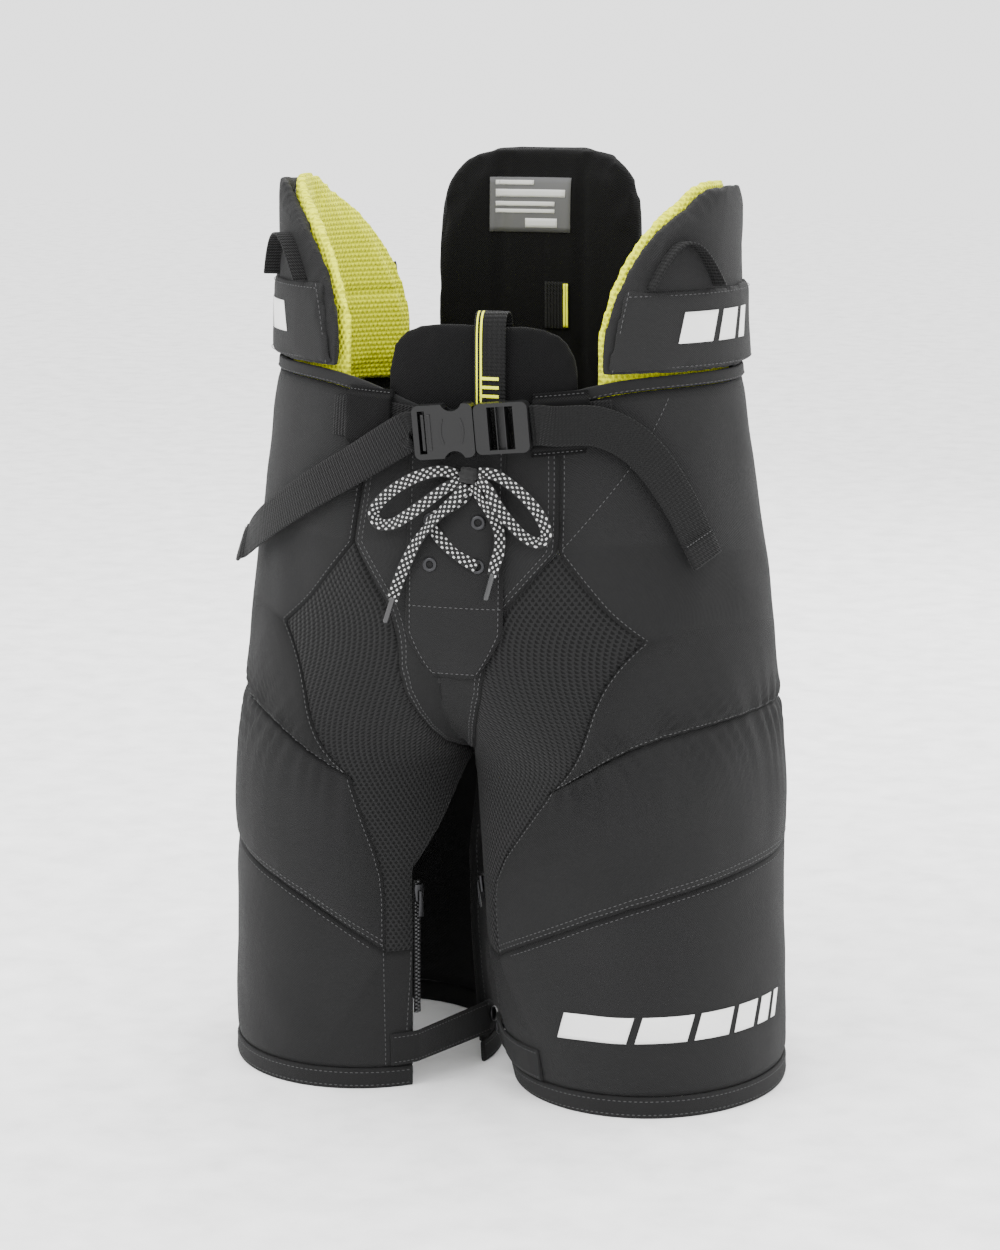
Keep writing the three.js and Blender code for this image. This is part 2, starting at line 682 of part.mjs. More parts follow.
let plug = solid(rounded(0.5, plugLength, 1 - half, half - 1, 4, 0.6, buckleThickness - 0.6));
const slot = (u0, u1, w0) => solid(box(u0, u1, -slotHalf, slotHalf, w0, buckleThickness + 1));
for (const u of [9, 20]) plug = plug.subtract(slot(u, u + 5, -1));
plug = plug.subtract(slot(14.5, 19.5, buckleThickness / 2 + 1));
const prongBase = wall + 0.4;
const prongHeight = buckleThickness - 2 * prongBase;
for (const v of [-1, 0, 1]) {
  const [reach, thick] = v ? [prongReach, 3.6] : [prongReach - 3, 5];
  const middle = v * (prongTop - 3.4);
  const [low, high] = [middle - thick / 2, middle + thick / 2];
  plug = plug.add(solid(box(-reach, 2, low, high, prongBase, prongBase + prongHeight)));
}
addTo(buckle, "buckle_plug", toGeometry(plug), plastic);

// Belt tails run round the front from the buckle and hang over the hips.
function aroundLeg(sign, start, places, steps, width, thickness) {
  const rest = places.map(([angle, z, out]) => skin(sign, angle, z, out));
  const curve = new THREE.CatmullRomCurve3([...start, ...rest]);
  const points = [...start, ...spread(0.06, 1, steps).slice(1).map((u) => curve.getPointAt(u))];
  const looks = points.map((p, i) => {
    const near = angleAtX(p.x, p.z);
    const face = normalAt(near.sign, Math.min(near.angle, 88), p.z);
    return i < 3 ? buckleFace.clone() : face.lerp(buckleFace, Math.max(0, 1 - i / 6)).normalize();
  });
  return strap(points, looks, width, thickness);
}
const tailOut = buckleOut + 2.5;
buckle.updateMatrixWorld();
const buckleAt = (u) => buckle.localToWorld(new THREE.Vector3(u, 0, buckleThickness / 2 - 1));
const buckleFace = buckleAt(0).clone().sub(buckle.localToWorld(new THREE.Vector3(0, 0, -1))).normalize();
const plugEnd = [plugLength + 2 * layerGap, plugLength + 6].map(buckleAt);
const socketEnd = [-socketLength - 2 * layerGap, -socketLength - 6].map(buckleAt);
add("belt_tail_plug_side", aroundLeg(1, plugEnd, [
  [31, beltHeight + 4, tailOut + 2.5],
  [43, beltHeight + 3, tailOut + 1.5],
  [53, beltHeight - 12, tailOut + 1],
  [61, beltHeight - 43, tailOut],
  [67, beltHeight - 82, tailOut + 1],
], 22, webbingWidth, webbingThickness), webbing);
add("belt_tail_socket_side", aroundLeg(-1, socketEnd, [
  [32, beltHeight - 25, tailOut + 1.5],
  [47, beltHeight - 46, tailOut + 1],
  [62, beltHeight - 70, tailOut + 2],
  [75, beltHeight - 92, tailOut + 5],
], 22, webbingWidth, webbingThickness), webbing);

// Laces: one crossing between the eyelets, the knot, two bow loops and two tails, as places in
// [x, height above the knot, distance off the placket].
const cordOut = placketOut + placketThickness + layerGap + laceDiameter / 2;
const lie = ([x, rise, out]) => front(x, knotPlace.z + rise, cordOut + out);
const laceCrossing = [
  [eyeletX, -56, 0], [4, -50, 0], [-7, -41, 0.2], [-eyeletX, -29, 0], [-6, -23, 0.2], [5, -15, 0.3],
  [9, -8, 0.3],
];
const bowRight = [
  [4, 0, 6], [-6, 2, 8], [-20, -2, 9], [-34, -10, 8], [-45, -19, 6], [-50, -27, 5], [-46, -33, 5],
  [-36, -32, 6], [-26, -26, 8], [-14, -17, 9], [-3, -8, 8], [5.6, -4.2, 6],
];
const bowLeft = [
  [16.1, 1.6, 6], [26, 1, 8], [37, -6, 9], [47, -16, 8], [54, -27, 6], [56, -36, 5], [51, -40, 5],
  [43, -36, 6], [34, -26, 8], [27, -16, 9], [22, -7, 8.5], [15.9, -2.5, 6.3],
];
const tailRight = [
  [9, -5.8, 4.6], [3, -14, 5.2], [-5, -22, 4.8], [-14, -32, 4.4], [-22, -43, 4.2], [-28, -55, 4.2],
  [-33, -67, 4.2], [-37, -79, 4],
];
const tailLeft = [
  [12.4, -5.1, 4.2], [18, -15, 4.6], [23, -21, 5], [27, -28, 4.6], [29, -36, 4.4], [29, -45, 4.4],
  [27, -53, 4.2], [25, -61, 4],
];
const lace = (name, places, steps) => add(name, cord(places.map(lie), laceDiameter, steps), laceCord);
lace("lace_crossing", laceCrossing, 16);
lace("lace_bow_right", bowRight, 30);
lace("lace_bow_left", bowLeft, 30);
lace("lace_tail_right", tailRight, 18);
lace("lace_tail_left", tailLeft, 16);
const knot = new THREE.SphereGeometry(knotRadius, 16, 10).scale(1, 1, 0.8);
add("lace_knot", knot, laceCord).position.copy(front(knotPlace.x, knotPlace.z, cordOut + knotLift));

// ---- Snap tabs and zips at the inner-leg slits ----
for (const side of sides) {
  const { sign, name } = side;
  const rear = slitRearAngle[name] - 360;
  const frontEdge = slitFrontAngle[name];
  const middle = tabBase + tabHeight / 2;
  const onFrontEdge = spread(tabStartAngle, frontEdge - 1, Math.ceil((tabStartAngle - frontEdge) / 6));
  const angles = [...onFrontEdge, rear - 1, rear - 5, rear - 9];
  const lifts = angles.map((a) => (a >= frontEdge - 1 ? hemBandProud + 0.8 : 3.4));
  const points = angles.map((a, i) => skin(sign, a, middle + 0.07 * (tabStartAngle - a), lifts[i]));
  const looks = angles.map((a) => normalAt(sign, a, middle));
  add(pair("snap_tab", side), strap(points, looks, tabHeight, tabThickness), cloth);
  const capAngle = rear - 5;
  const capZ = middle + 0.07 * (tabStartAngle - capAngle);
  const capFace = normalAt(sign, capAngle, capZ);
  const turned = new THREE.Quaternion().setFromUnitVectors(new THREE.Vector3(0, 1, 0), capFace);
  const disc = (thickness, radius, lift) => {
    const g = new THREE.CylinderGeometry(radius, radius, thickness, 24).applyQuaternion(turned);
    return g.translate(...skin(sign, capAngle, capZ, lift + thickness / 2).toArray());
  };
  add(pair("snap_cap", side), disc(capThickness, capRadius, 3.4 + tabThickness + layerGap), plastic);
  add(pair("snap_stud", side), disc(2.3, capRadius - 1, layerGap), metal);

  // The zip's chain runs straight up the slit's front edge, with the slider parked at its top.
  const chainAngle = frontEdge - THREE.MathUtils.radToDeg((2 * zipInset) / (hemHalfWidth - legGap));
  const bottom = skin(sign, chainAngle, zipFoot, -0.6);
  const top = skin(sign, chainAngle, slitTop - 8, -0.6);
  const face = normalAt(sign, chainAngle, (zipFoot + slitTop) / 2);
  const chain = strap([bottom, top], [face, face], zipWidth, 1.4);
  add(pair("zip_chain", side), chain, plastic);
  const upZip = top.clone().sub(bottom).normalize();
  const seat = top.clone().addScaledVector(upZip, -sliderHeight - 2).addScaledVector(face, 1.4 + layerGap);
  const sliderTop = seat.clone().addScaledVector(upZip, sliderHeight);
  const slider = strap([seat, sliderTop], [face, face], zipWidth + 2, 2.6);
  add(pair("zip_slider", side), slider, metal);
}

// ---- Hip wings ----

// A wing's edges: it leans back as it rises to a rounded top.
function wingGrid(inset, base, rows = 7, columns = 12) {
  const tall = wingTop - wingBase - inset;
  return spread(0, 1, rows).map((v) => {
    const z = v === 0 ? base : wingBase + tall * v;
    const lean = Math.pow(v, 2.2);
    const a0 = wingFrontAngle + inset * 0.4 + 26 * lean;
    const a1 = wingRearAngle - inset * 0.4 - 30 * lean;
    return spread(a0, a1, columns).map((a, i) => {
      const side = Math.abs((2 * i) / columns - 1);
      return [a, z - (v > 0.85 ? 8 * Math.pow(side, 3) : 0)];
    });
  });
}
for (const side of sides) {
  const { sign } = side;
  const slab = (grid, out, thickness) => layer(sign, grid, out, out - thickness);
  const insertOut = wingPadOut - wingPadThickness - wingLayerGap;
  const linerOut = insertOut - wingInsertThickness - wingLayerGap;
  add(pair("hip_pad", side), slab(wingGrid(0, wingBase), wingPadOut, wingPadThickness), cloth);
  add(pair("hip_insert", side), slab(wingGrid(8, wingBase + 3), insertOut, wingInsertThickness), plastic);
  const linerGrid = wingGrid(1, wingBase - wingLinerTongue);
  add(pair("hip_liner", side), slab(linerGrid, linerOut, wingLinerThickness), yellowMesh);
  const bandRows = spread(wingBase + 1, wingBase + bandHeight, 3);
  const bandAngles = (j) => spread(wingFrontAngle + 1 + 1.6 * j, wingRearAngle - 2, 12);
  const bandGrid = bandRows.map((z, j) => bandAngles(j).map((a) => [a, z]));
  const bandOut = wingPadOut + layerGap + 0.3;
  add(pair("hip_band", side), layer(sign, bandGrid, bandOut + bandThickness, bandOut), cloth);
  const loopFoot = wingBase + bandHeight + layerGap;
  const loopPlaces = spread(0, 1, 12).map((u) =>
    [loopFrontAngle + (loopRearAngle - loopFrontAngle) * u, loopFoot + loopHeight * Math.sin(Math.PI * u)]);
  const loopPoints = loopPlaces.map(([a, z]) => skin(sign, a, z, bandOut + loopWidth / 2));
  const loopLooks = loopPoints.map((p, i) => {
    const ahead = loopPoints[Math.min(i + 1, 12)];
    const behind = loopPoints[Math.max(i - 1, 0)];
    const n = normalAt(sign, ...loopPlaces[i]);
    const look = ahead.clone().sub(behind).cross(n).multiplyScalar(-sign);
    return look.normalize();
  });
  add(pair("hip_loop", side), strap(loopPoints, loopLooks, loopWidth, webbingThickness), webbing);
}

// ---- Pads inside the waist ----

// A pad's outline narrows to a rounded top and foot.
function padGrid(place, middle, halfWidth, low, high, rows, columns, roundness) {
  return spread(0, 1, rows).map((v) => {
    const end = Math.pow(Math.abs(2 * v - 1), roundness);
    const wide = halfWidth * Math.pow(1 - 0.96 * end, 1 / roundness);
    return spread(middle - wide, middle + wide, columns).map((x) => place(x, low + (high - low) * v));
  });
}
const padOut = -Math.max(shellThickness, bindingThickness - bindingOut) - layerGap;
const bellyGrid = padGrid(onFront, bellyPadX, bellyPadHalfWidth, bellyPadBase, bellyPadTop, 9, 8, 4);
add("belly_pad", layer(1, bellyGrid, padOut, padOut - bellyPadThickness), lining);
const backGrid = padGrid(onBack, backPadX, backPadHalfWidth, backPadBase, backPadTop, 11, 8, 4);
add("back_pad", layer(1, backGrid, padOut, padOut - backPadThickness), lining);
const tailboneGrid = padGrid(onBack, 0, 46, crotchHeight + 90, backPadBase - 12, 7, 8, 3);
add("tailbone_pad", layer(1, tailboneGrid, padOut, padOut - tailbonePadThickness), foam);

// The pull loop goes over the belly pad's top edge, front to back.
const pullFront = padOut + 2 * layerGap;
const pullBack = padOut - bellyPadThickness - 4 * layerGap;
const overPad = [
  [pullFoot, pullFront], [waistHeight + 16, pullFront], [bellyPadTop - 6, pullFront],
  [bellyPadTop + 1.5, pullFront], [bellyPadTop + 3, padOut - bellyPadThickness / 2],
  [bellyPadTop + 1.5, pullBack], [bellyPadTop - 9, pullBack], [waistHeight + 9, pullBack],
];
const pullPoints = overPad.map(([z, out]) => front(pullX, z, out));
const pullLooks = pullPoints.map((p, i) => {
  const ahead = pullPoints[Math.min(i + 1, pullPoints.length - 1)];
  const behind = pullPoints[Math.max(i - 1, 0)];
  return new THREE.Vector3(1, 0, 0).cross(ahead.clone().sub(behind)).normalize();
});
add("belly_pull_loop", strap(pullPoints, pullLooks, pullWidth, webbingThickness), webbing);

const patch = (x, halfWide, low, high, out, thickness) => {
  const columns = spread(x - halfWide, x + halfWide, 4);
  const grid = spread(low, high, 3).map((z) => columns.map((v) => onBack(v, z)));
  return layer(1, grid, out, out - thickness);
};
const backFace = padOut - backPadThickness - layerGap - 0.2;
add("size_label", patch(backPadX - 8, 30, backPadTop - 57, backPadTop - 21, backFace, 0.6), labelCloth);
add("back_tag", patch(backPadX + 12, 9, waistHeight + 19, waistHeight + 49, backFace, 1.4), webbing);

// ---- Thigh protection inside each leg ----
for (const side of sides) {
  const columns = spread(guardFrontAngle, guardRearAngle, 12);
  const grid = spread(guardFoot, guardTop, 5).map((z) => columns.map((a) => [a, z]));
  const guardOut = -shellThickness - guardGap;
  const foamOut = guardOut - guardThickness - guardGap / 2;
  add(pair("thigh_guard", side), layer(side.sign, grid, guardOut, guardOut - guardThickness), plastic);
  add(pair("thigh_foam", side), layer(side.sign, grid, foamOut, foamOut - guardFoamThickness), foam);
}

export default pants;
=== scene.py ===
# Ice-hockey pants: cloth shell, padded hip wings, back and belly pads, belt, buckle, laces and zips.
import math

import bmesh
import bpy
import numpy as np
from mathutils import Matrix, Vector, noise
from mathutils.bvhtree import BVHTree


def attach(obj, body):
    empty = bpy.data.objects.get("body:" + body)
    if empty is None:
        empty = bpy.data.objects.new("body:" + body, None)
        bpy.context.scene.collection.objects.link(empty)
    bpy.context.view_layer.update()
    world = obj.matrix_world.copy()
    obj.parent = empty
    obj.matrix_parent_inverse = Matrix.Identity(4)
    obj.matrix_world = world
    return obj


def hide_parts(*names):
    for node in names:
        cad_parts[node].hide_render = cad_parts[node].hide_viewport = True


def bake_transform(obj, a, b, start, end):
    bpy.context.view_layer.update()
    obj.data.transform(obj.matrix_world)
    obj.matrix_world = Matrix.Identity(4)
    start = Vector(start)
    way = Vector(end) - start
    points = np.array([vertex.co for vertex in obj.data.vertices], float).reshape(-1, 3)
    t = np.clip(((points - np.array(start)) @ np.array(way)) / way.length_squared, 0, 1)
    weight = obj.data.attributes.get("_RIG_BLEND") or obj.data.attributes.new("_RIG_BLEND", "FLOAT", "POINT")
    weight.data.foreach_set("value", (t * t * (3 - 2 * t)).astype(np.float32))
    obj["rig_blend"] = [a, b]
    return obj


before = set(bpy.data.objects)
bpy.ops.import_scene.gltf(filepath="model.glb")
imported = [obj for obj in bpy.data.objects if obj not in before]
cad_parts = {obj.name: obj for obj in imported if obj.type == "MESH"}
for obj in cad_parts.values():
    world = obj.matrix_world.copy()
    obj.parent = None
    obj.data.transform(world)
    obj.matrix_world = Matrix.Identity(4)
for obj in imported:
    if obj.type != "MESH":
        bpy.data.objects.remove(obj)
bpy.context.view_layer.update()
mm = 0.001
sides = [("Left", "left", 1), ("Right", "right", -1)]


# camera and light

view = dict(azimuth=17, elevation=11, distance=2.1, target=(0, 0, 0.3), lens=93.05, shift=(-0.0072, -0.0096))
studio = dict(key=(-1.3, -1.9, 1.9), keyPower=46, fill=(1.7, -1.5, 1.0), fillPower=20, top=(0, 0.2, 2.3),
              topPower=26, rim=(0.6, 1.8, 1.3), rimPower=22, world=2.3, floor=(0.97, 0.97, 0.97), floorSize=8)


def aimed(thing, place, target):
    thing.location = place
    thing.rotation_euler = (Vector(target) - Vector(place)).to_track_quat("-Z", "Y").to_euler()
    bpy.context.scene.collection.objects.link(thing)


def makeCamera():
    lens = bpy.data.cameras.new("camera")
    lens.lens = view["lens"]
    lens.shift_x, lens.shift_y = view["shift"]
    camera = bpy.data.objects.new("camera", lens)
    turn, rise = math.radians(view["azimuth"]), math.radians(view["elevation"])
    back = Vector((math.sin(turn) * math.cos(rise), -math.cos(turn) * math.cos(rise), math.sin(rise)))
    target = Vector(view["target"])
    aimed(camera, target + back * view["distance"], target)
    bpy.context.scene.camera = camera


def makeLights():
    for name, size in (("key", 1.6), ("fill", 1.8), ("top", 1.6), ("rim", 1.4)):
        lamp = bpy.data.lights.new(name, "AREA")
        lamp.size = size
        lamp.energy = studio[name + "Power"]
        aimed(bpy.data.objects.new(name, lamp), studio[name], view["target"])
    world = bpy.data.worlds.new("studio")
    bpy.context.scene.world = world
    world.use_nodes = True
    world.node_tree.nodes["Background"].inputs["Color"].default_value = (1, 1, 1, 1)
    world.node_tree.nodes["Background"].inputs["Strength"].default_value = studio["world"]


makeCamera()
makeLights()
print("camera and lights made")


# the shell's surface: a section at each height, in millimetres

shell = dict(crotch=208, waist=459, padTop=597, legGap=9.5, merge=120,
             dip=25, dipX=6, dipWidth=62, thickness=2.2, seamDip=0.9, seamWidth=2.4, perDegree=1.6)
crotch, waist = shell["crotch"], shell["waist"]
hipHeight = crotch + 0.37 * (waist - crotch)
widths = [(0, 185), (0.48 * crotch, 182), (crotch, 179), (hipHeight + 30, 166), (waist + 6, 151),
          (shell["padTop"], 146)]
depths = [(0, 98), (crotch, 110), (hipHeight, 121), (waist + 6, 105), (shell["padTop"], 105)]
forwards = [(0, 0), (crotch, 5), (hipHeight, 5), (waist + 6, 0), (shell["padTop"], 0)]
leans = [(0, 0), (0.48 * crotch, -11.25), (crotch, -15), (hipHeight + 30, -6), (waist - 40, 0),
         (shell["padTop"], 0)]
squares = [(0, 2), (0.3 * crotch, 2.6), (0.5 * crotch, 2.8), (0.85 * crotch, 2.5), (crotch + 32, 2),
           (shell["padTop"], 2)]


def profile(knots, z):
    heights, values = np.array(knots, float).T
    last = len(values) - 1
    slopes = np.array([(values[min(last, k + 1)] - values[max(0, k - 1)]) /
                       (heights[min(last, k + 1)] - heights[max(0, k - 1)]) for k in range(last + 1)])
    i = np.searchsorted(heights[1:-1], z)
    h = heights[i + 1] - heights[i]
    t = np.clip((z - heights[i]) / h, 0, 1)
    ends = (2 * t**3 - 3 * t**2 + 1) * values[i] + (3 * t**2 - 2 * t**3) * values[i + 1]
    return ends + (t**3 - 2 * t**2 + t) * h * slopes[i] + (t**3 - t**2) * h * slopes[i + 1]


def section(sign, z):
    lean = profile(leans, z)
    reach = profile(widths, z) - sign * lean
    gap = shell["legGap"] * np.clip(1 - z / crotch, 0, 1) ** 0.4
    joined = np.clip((z - crotch) / shell["merge"], 0, 1)
    joined = joined * joined * (3 - 2 * joined)
    centre = np.where(z < crotch, (reach + gap) / 2, reach / 2 * (1 - joined))
    return lean, centre, reach - centre, profile(depths, z), profile(forwards, z), profile(squares, z)


def bare(sign, angle, z):
    sign, angle, z = np.broadcast_arrays(np.asarray(sign, float), np.asarray(angle, float),
                                         np.asarray(z, float))
    lean, centre, wide, deep, forward, square = section(sign, z)
    a = np.radians(angle)
    power = np.where((angle < 0) | (angle > 180), square, 2)
    across = (np.abs(np.sin(a)) / wide) ** power
    along = (np.abs(np.cos(a)) / deep) ** power
    r = (across + along) ** (-1 / power)
    return np.stack([lean + sign * (centre + r * np.sin(a)), forward - r * np.cos(a), z], -1)


def normalAt(sign, angle, z):
    z = np.asarray(z, float)
    turn = bare(sign, angle + 0.5, z) - bare(sign, angle - 0.5, z)
    rise = bare(sign, angle, z + 0.5) - bare(sign, angle, z - 0.5)
    n = np.cross(turn, rise) * np.asarray(sign, float)[..., None]
    flat = (np.abs(bare(sign, angle, z)[..., 0] - section(sign, z)[0]) < 0.02) & (z > crotch - 4)
    n[..., 0] = np.where(flat, 0, n[..., 0])
    return n / np.linalg.norm(n, axis=-1, keepdims=True)


def skin(sign, angle, z, out=0):
    out = np.asarray(out, float)[..., None]
    return bare(sign, angle, z) + normalAt(sign, angle, z) * out


def angleAtX(x, z):
    x, z = np.broadcast_arrays(np.asarray(x, float), np.asarray(z, float))
    sign = np.where(x < profile(leans, z), -1.0, 1.0)
    lean, centre, wide, deep, _, square = section(sign, z)
    across = sign * (x - lean) - centre
    power = np.where(across < 0, square, 2)
    inside = np.clip(1 - (np.abs(across) / wide) ** power, 0, None)
    return sign, np.degrees(np.arctan2(across, deep * inside ** (1 / power)))


def front(x, z, out=0):
    sign, angle = angleAtX(x, z)
    return skin(sign, angle, np.asarray(z, float), out)


def backward(x, z, out=0):
    sign, angle = angleAtX(x, z)
    return skin(sign, 180 - angle, np.asarray(z, float), out)


def centreAngle(sign, z):
    _, centre, wide, deep, _, square = section(sign, z)
    depth = deep * np.clip(1 - (centre / wide) ** square, 0, None) ** (1 / square)
    return -np.degrees(np.arctan2(centre, depth))


def waistEdge(sign, angle):
    x = bare(sign, angle, waist)[..., 0]
    dip = shell["dip"] * np.exp(-((x - shell["dipX"]) / shell["dipWidth"]) ** 2)
    return np.where(np.asarray(angle) > 90, waist, waist - dip)


# materials: sums on sockets make their own nodes

class Wire:
    def __init__(self, look, socket):
        self.look, self.socket = look, socket

    def maths(self, kind, a, b):
        return self.look.node("ShaderNodeMath", {"operation": kind}, {0: a, 1: b})

    def __add__(self, other):
        return self.maths("ADD", self, other)

    def __radd__(self, other):
        return self.maths("ADD", other, self)

    def __sub__(self, other):
        return self.maths("SUBTRACT", self, other)

    def __mul__(self, other):
        return self.maths("MULTIPLY", self, other)

    def __rmul__(self, other):
        return self.maths("MULTIPLY", other, self)

    def __gt__(self, other):
        return self.maths("GREATER_THAN", self, other)

    def wave(self):
        return self.maths("SINE", self, 0)


class Look:
    def __init__(self, name, **fixed):
        self.material = bpy.data.materials.new(name)
        self.material.use_nodes = True
        self.nodes = self.material.node_tree.nodes
        self.shader = self.nodes["Principled BSDF"]
        for socket, value in fixed.items():
            self.shader.inputs[socket.replace("_", " ")].default_value = value

    def node(self, kind, settings=None, inputs=None, out=0):
        made = self.nodes.new(kind)
        for key, value in (settings or {}).items():
            setattr(made, key, value)
        for key, value in (inputs or {}).items():
            if isinstance(value, Wire):
                self.material.node_tree.links.new(value.socket, made.inputs[key])
            else:
                made.inputs[key].default_value = value
        return Wire(self, made.outputs[out])

    def feed(self, **inputs):
        for key, wire in inputs.items():
            self.material.node_tree.links.new(wire.socket, self.shader.inputs[key.replace("_", " ")])

    def weave(self):
        place = self.node("ShaderNodeAttribute", {"attribute_name": "weave"}, out=1)
        parts = self.node("ShaderNodeSeparateXYZ", inputs={0: place})
        return parts, Wire(self, parts.socket.node.outputs[1]), Wire(self, parts.socket.node.outputs[2])

    def solidPlace(self):
        return self.node("ShaderNodeTexCoord", out=3)

    def noise(self, scale):
        return self.node("ShaderNodeTexNoise", None,
                         {"Vector": self.solidPlace(), "Scale": scale, "Detail": 3.0})

    def mix(self, share, a, b):
        return self.node("ShaderNodeMix", {"data_type": "RGBA"}, {0: share, 6: a, 7: b}, out=2)

    def bump(self, height, distance, strength=1.0):
        return self.node("ShaderNodeBump", None,
                         {"Height": height, "Distance": distance, "Strength": strength})


def shade(colour, by=1.0):
    return tuple(c * by for c in colour) + (1,)


def clothLook(name, colour, pitch, roughness, sheen, worn=1.35, depth=0.00022):
    look = Look(name, Specular_IOR_Level=0.09, Sheen_Weight=sheen, Sheen_Roughness=0.5)
    u, v, edge = look.weave()
    turns = 2 * math.pi / pitch
    plain = (u * turns).wave() * (v * turns).wave()
    large = look.noise(9)
    fine = look.noise(420)
    tone = large * 0.5 + fine * 0.35 + (plain * 0.5 + 0.5) * 0.25
    base = look.mix(tone, shade(colour, 0.62), shade(colour, worn))
    # Darker within a few millimetres of each sewn edge: seam dirt and painted shade in the seam's dip.
    seam = edge.maths("MINIMUM", edge * 260, 1)
    look.feed(Base_Color=look.mix(seam, shade(colour, 0.45), base),
              Roughness=roughness - 0.12 + fine * 0.2,
              Normal=look.bump(plain + fine * 0.9 + large * 0.5, depth))
    return look.material


def holeLook(name, colour, pitch, hole, roughness, dark=0.35, sheen=0.1):
    look = Look(name, Specular_IOR_Level=0.12, Sheen_Weight=sheen)
    u, v, _ = look.weave()
    turns = 2 * math.pi / pitch
    row = (v * turns * 1.1547).wave()
    cells = (u * turns).wave() * (v * turns * 0.577).wave()
    mask = (cells + row * 0.35 + 0.2) > hole
    fine = look.noise(600)
    soft = look.mix(fine, shade(colour, 0.78), shade(colour, 1.18))
    look.feed(Base_Color=look.mix(mask, soft, shade(colour, dark)), Roughness=roughness + fine * 0.1,
              Normal=look.bump(cells * -1 + row * -0.35 + fine * 0.3, 0.0007, 0.8))
    return look.material


def ribLook(name, colour, pitch, roughness):
    look = Look(name, Specular_IOR_Level=0.15, Sheen_Weight=0.03)
    u, v, _ = look.weave()
    turns = 2 * math.pi / pitch
    rib = (u * turns).wave()
    cord = (v * (2 * math.pi / 0.0031)).wave()
    twill = (u * turns + v * (2 * math.pi / 0.0016)).wave()
    fine = look.noise(500)
    look.feed(Base_Color=look.mix(fine * 0.6 + (twill * 0.5 + 0.5) * 0.4, shade(colour, 0.55),
                                  shade(colour, 1.5)),
              Roughness=roughness + fine * 0.15, Normal=look.bump(rib + cord * 0.5 + twill * 0.8, 0.0003))
    return look.material


def laceLook(name, dark, pale):
    look = Look(name, Specular_IOR_Level=0.15, Sheen_Weight=0.05)
    u, v, _ = look.weave()
    along, across = (u * (2 * math.pi / 0.0046)).wave(), (v * (2 * math.pi / 0.0036)).wave()
    chequer = (along * across) > 0.4
    one, other = u * (2 * math.pi / 0.0011), v * (2 * math.pi / 0.0013)
    braid = (one + other).wave() * (one - other).wave()
    look.feed(Base_Color=look.mix(chequer, shade(dark), shade(pale)), Roughness=0.75 + braid * 0.08,
              Normal=look.bump(braid, 0.00025))
    return look.material


def mouldLook(name, colour, roughness, grain=900, depth=0.00006, metal=0.0, specular=0.5):
    look = Look(name, Specular_IOR_Level=specular, Metallic=metal)
    fine, large = look.noise(grain), look.noise(26)
    look.feed(Base_Color=look.mix(large * 0.7 + fine * 0.3, shade(colour, 0.75), shade(colour, 1.3)),
              Roughness=roughness - 0.08 + large * 0.16, Normal=look.bump(fine + large * 0.6, depth))
    return look.material


looks = dict(
    shellCloth=clothLook("shell cloth", (0.0118, 0.0118, 0.012), 0.0011, 0.72, 0.03),
    tabCloth=clothLook("tab cloth", (0.0098, 0.0098, 0.01), 0.0011, 0.72, 0.03),
    wingCloth=clothLook("wing cloth", (0.0148, 0.0148, 0.015), 0.0014, 0.75, 0.03),
    thighMesh=holeLook("thigh mesh", (0.0115, 0.0115, 0.0117), 0.003, 0.42, 0.75, 0.25, 0.03),
    liningCloth=clothLook("lining cloth", (0.0032, 0.0032, 0.0033), 0.0016, 0.85, 0.02),
    yellowMesh=holeLook("yellow mesh", (0.8, 0.84, 0.004), 0.0036, 0.55, 0.65, 0.6, 0.05),
    webbing=ribLook("webbing", (0.0036, 0.0036, 0.0037), 0.0024, 0.6),
    buckle=mouldLook("buckle plastic", (0.0058, 0.0058, 0.006), 0.4, specular=0.28),
    guard=mouldLook("guard plastic", (0.024, 0.024, 0.025), 0.5),
    foam=mouldLook("pad foam", (0.24, 0.245, 0.26), 0.9, 320, 0.0003, 0.0, 0.2),
    snap=mouldLook("snap metal", (0.03, 0.03, 0.032), 0.32, 1200, 0.00003, 0.85),
    zipTeeth=mouldLook("zip teeth", (0.016, 0.016, 0.017), 0.38),
    lace=laceLook("lace", (0.012, 0.012, 0.012), (0.55, 0.55, 0.55)),
    aglet=mouldLook("aglet", (0.02, 0.02, 0.021), 0.25, 900, 0.00002),
    thread=mouldLook("thread", (0.05, 0.05, 0.051), 0.7, 700, 0.0001, 0.0, 0.3),
    print=mouldLook("white print", (0.72, 0.72, 0.71), 0.55, 1500, 0.00002),
    printGrey=mouldLook("grey print", (0.05, 0.05, 0.051), 0.6, 1500, 0.00002),
    labelCloth=mouldLook("label cloth", (0.42, 0.42, 0.41), 0.6, 1500, 0.00006),
    yellowPrint=mouldLook("yellow print", (0.76, 0.8, 0.005), 0.55, 1500, 0.00005),
    floor=mouldLook("floor", studio["floor"], 0.9, 60, 0.00001, 0.0, 0.1),
)
slots = dict(shellCloth="shell_cloth", tabCloth="tab_cloth", wingCloth="wing_cloth", thighMesh="thigh_mesh",
             liningCloth="lining_cloth", yellowMesh="yellow_mesh", webbing="webbing", buckle="buckle_plastic",
             guard="guard_plastic", foam="pad_foam", snap="snap_metal", zipTeeth="zip_plastic", lace="lace",
             labelCloth="label_cloth")
print("materials made")


# mesh making

def finishPiece(name, bm, look, body="shell", replaced=(), slot=None):
    mesh = bpy.data.meshes.new(name)
    bm.to_mesh(mesh)
    bm.free()
    mesh.polygons.foreach_set("use_smooth", [True] * len(mesh.polygons))
    piece = bpy.data.objects.new(name, mesh)
    bpy.context.scene.collection.objects.link(piece)
    mesh.materials.append(looks[look])
    if body:
        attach(piece, body)
    if replaced:
        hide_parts(*replaced)
    slot or look in slots
    return piece


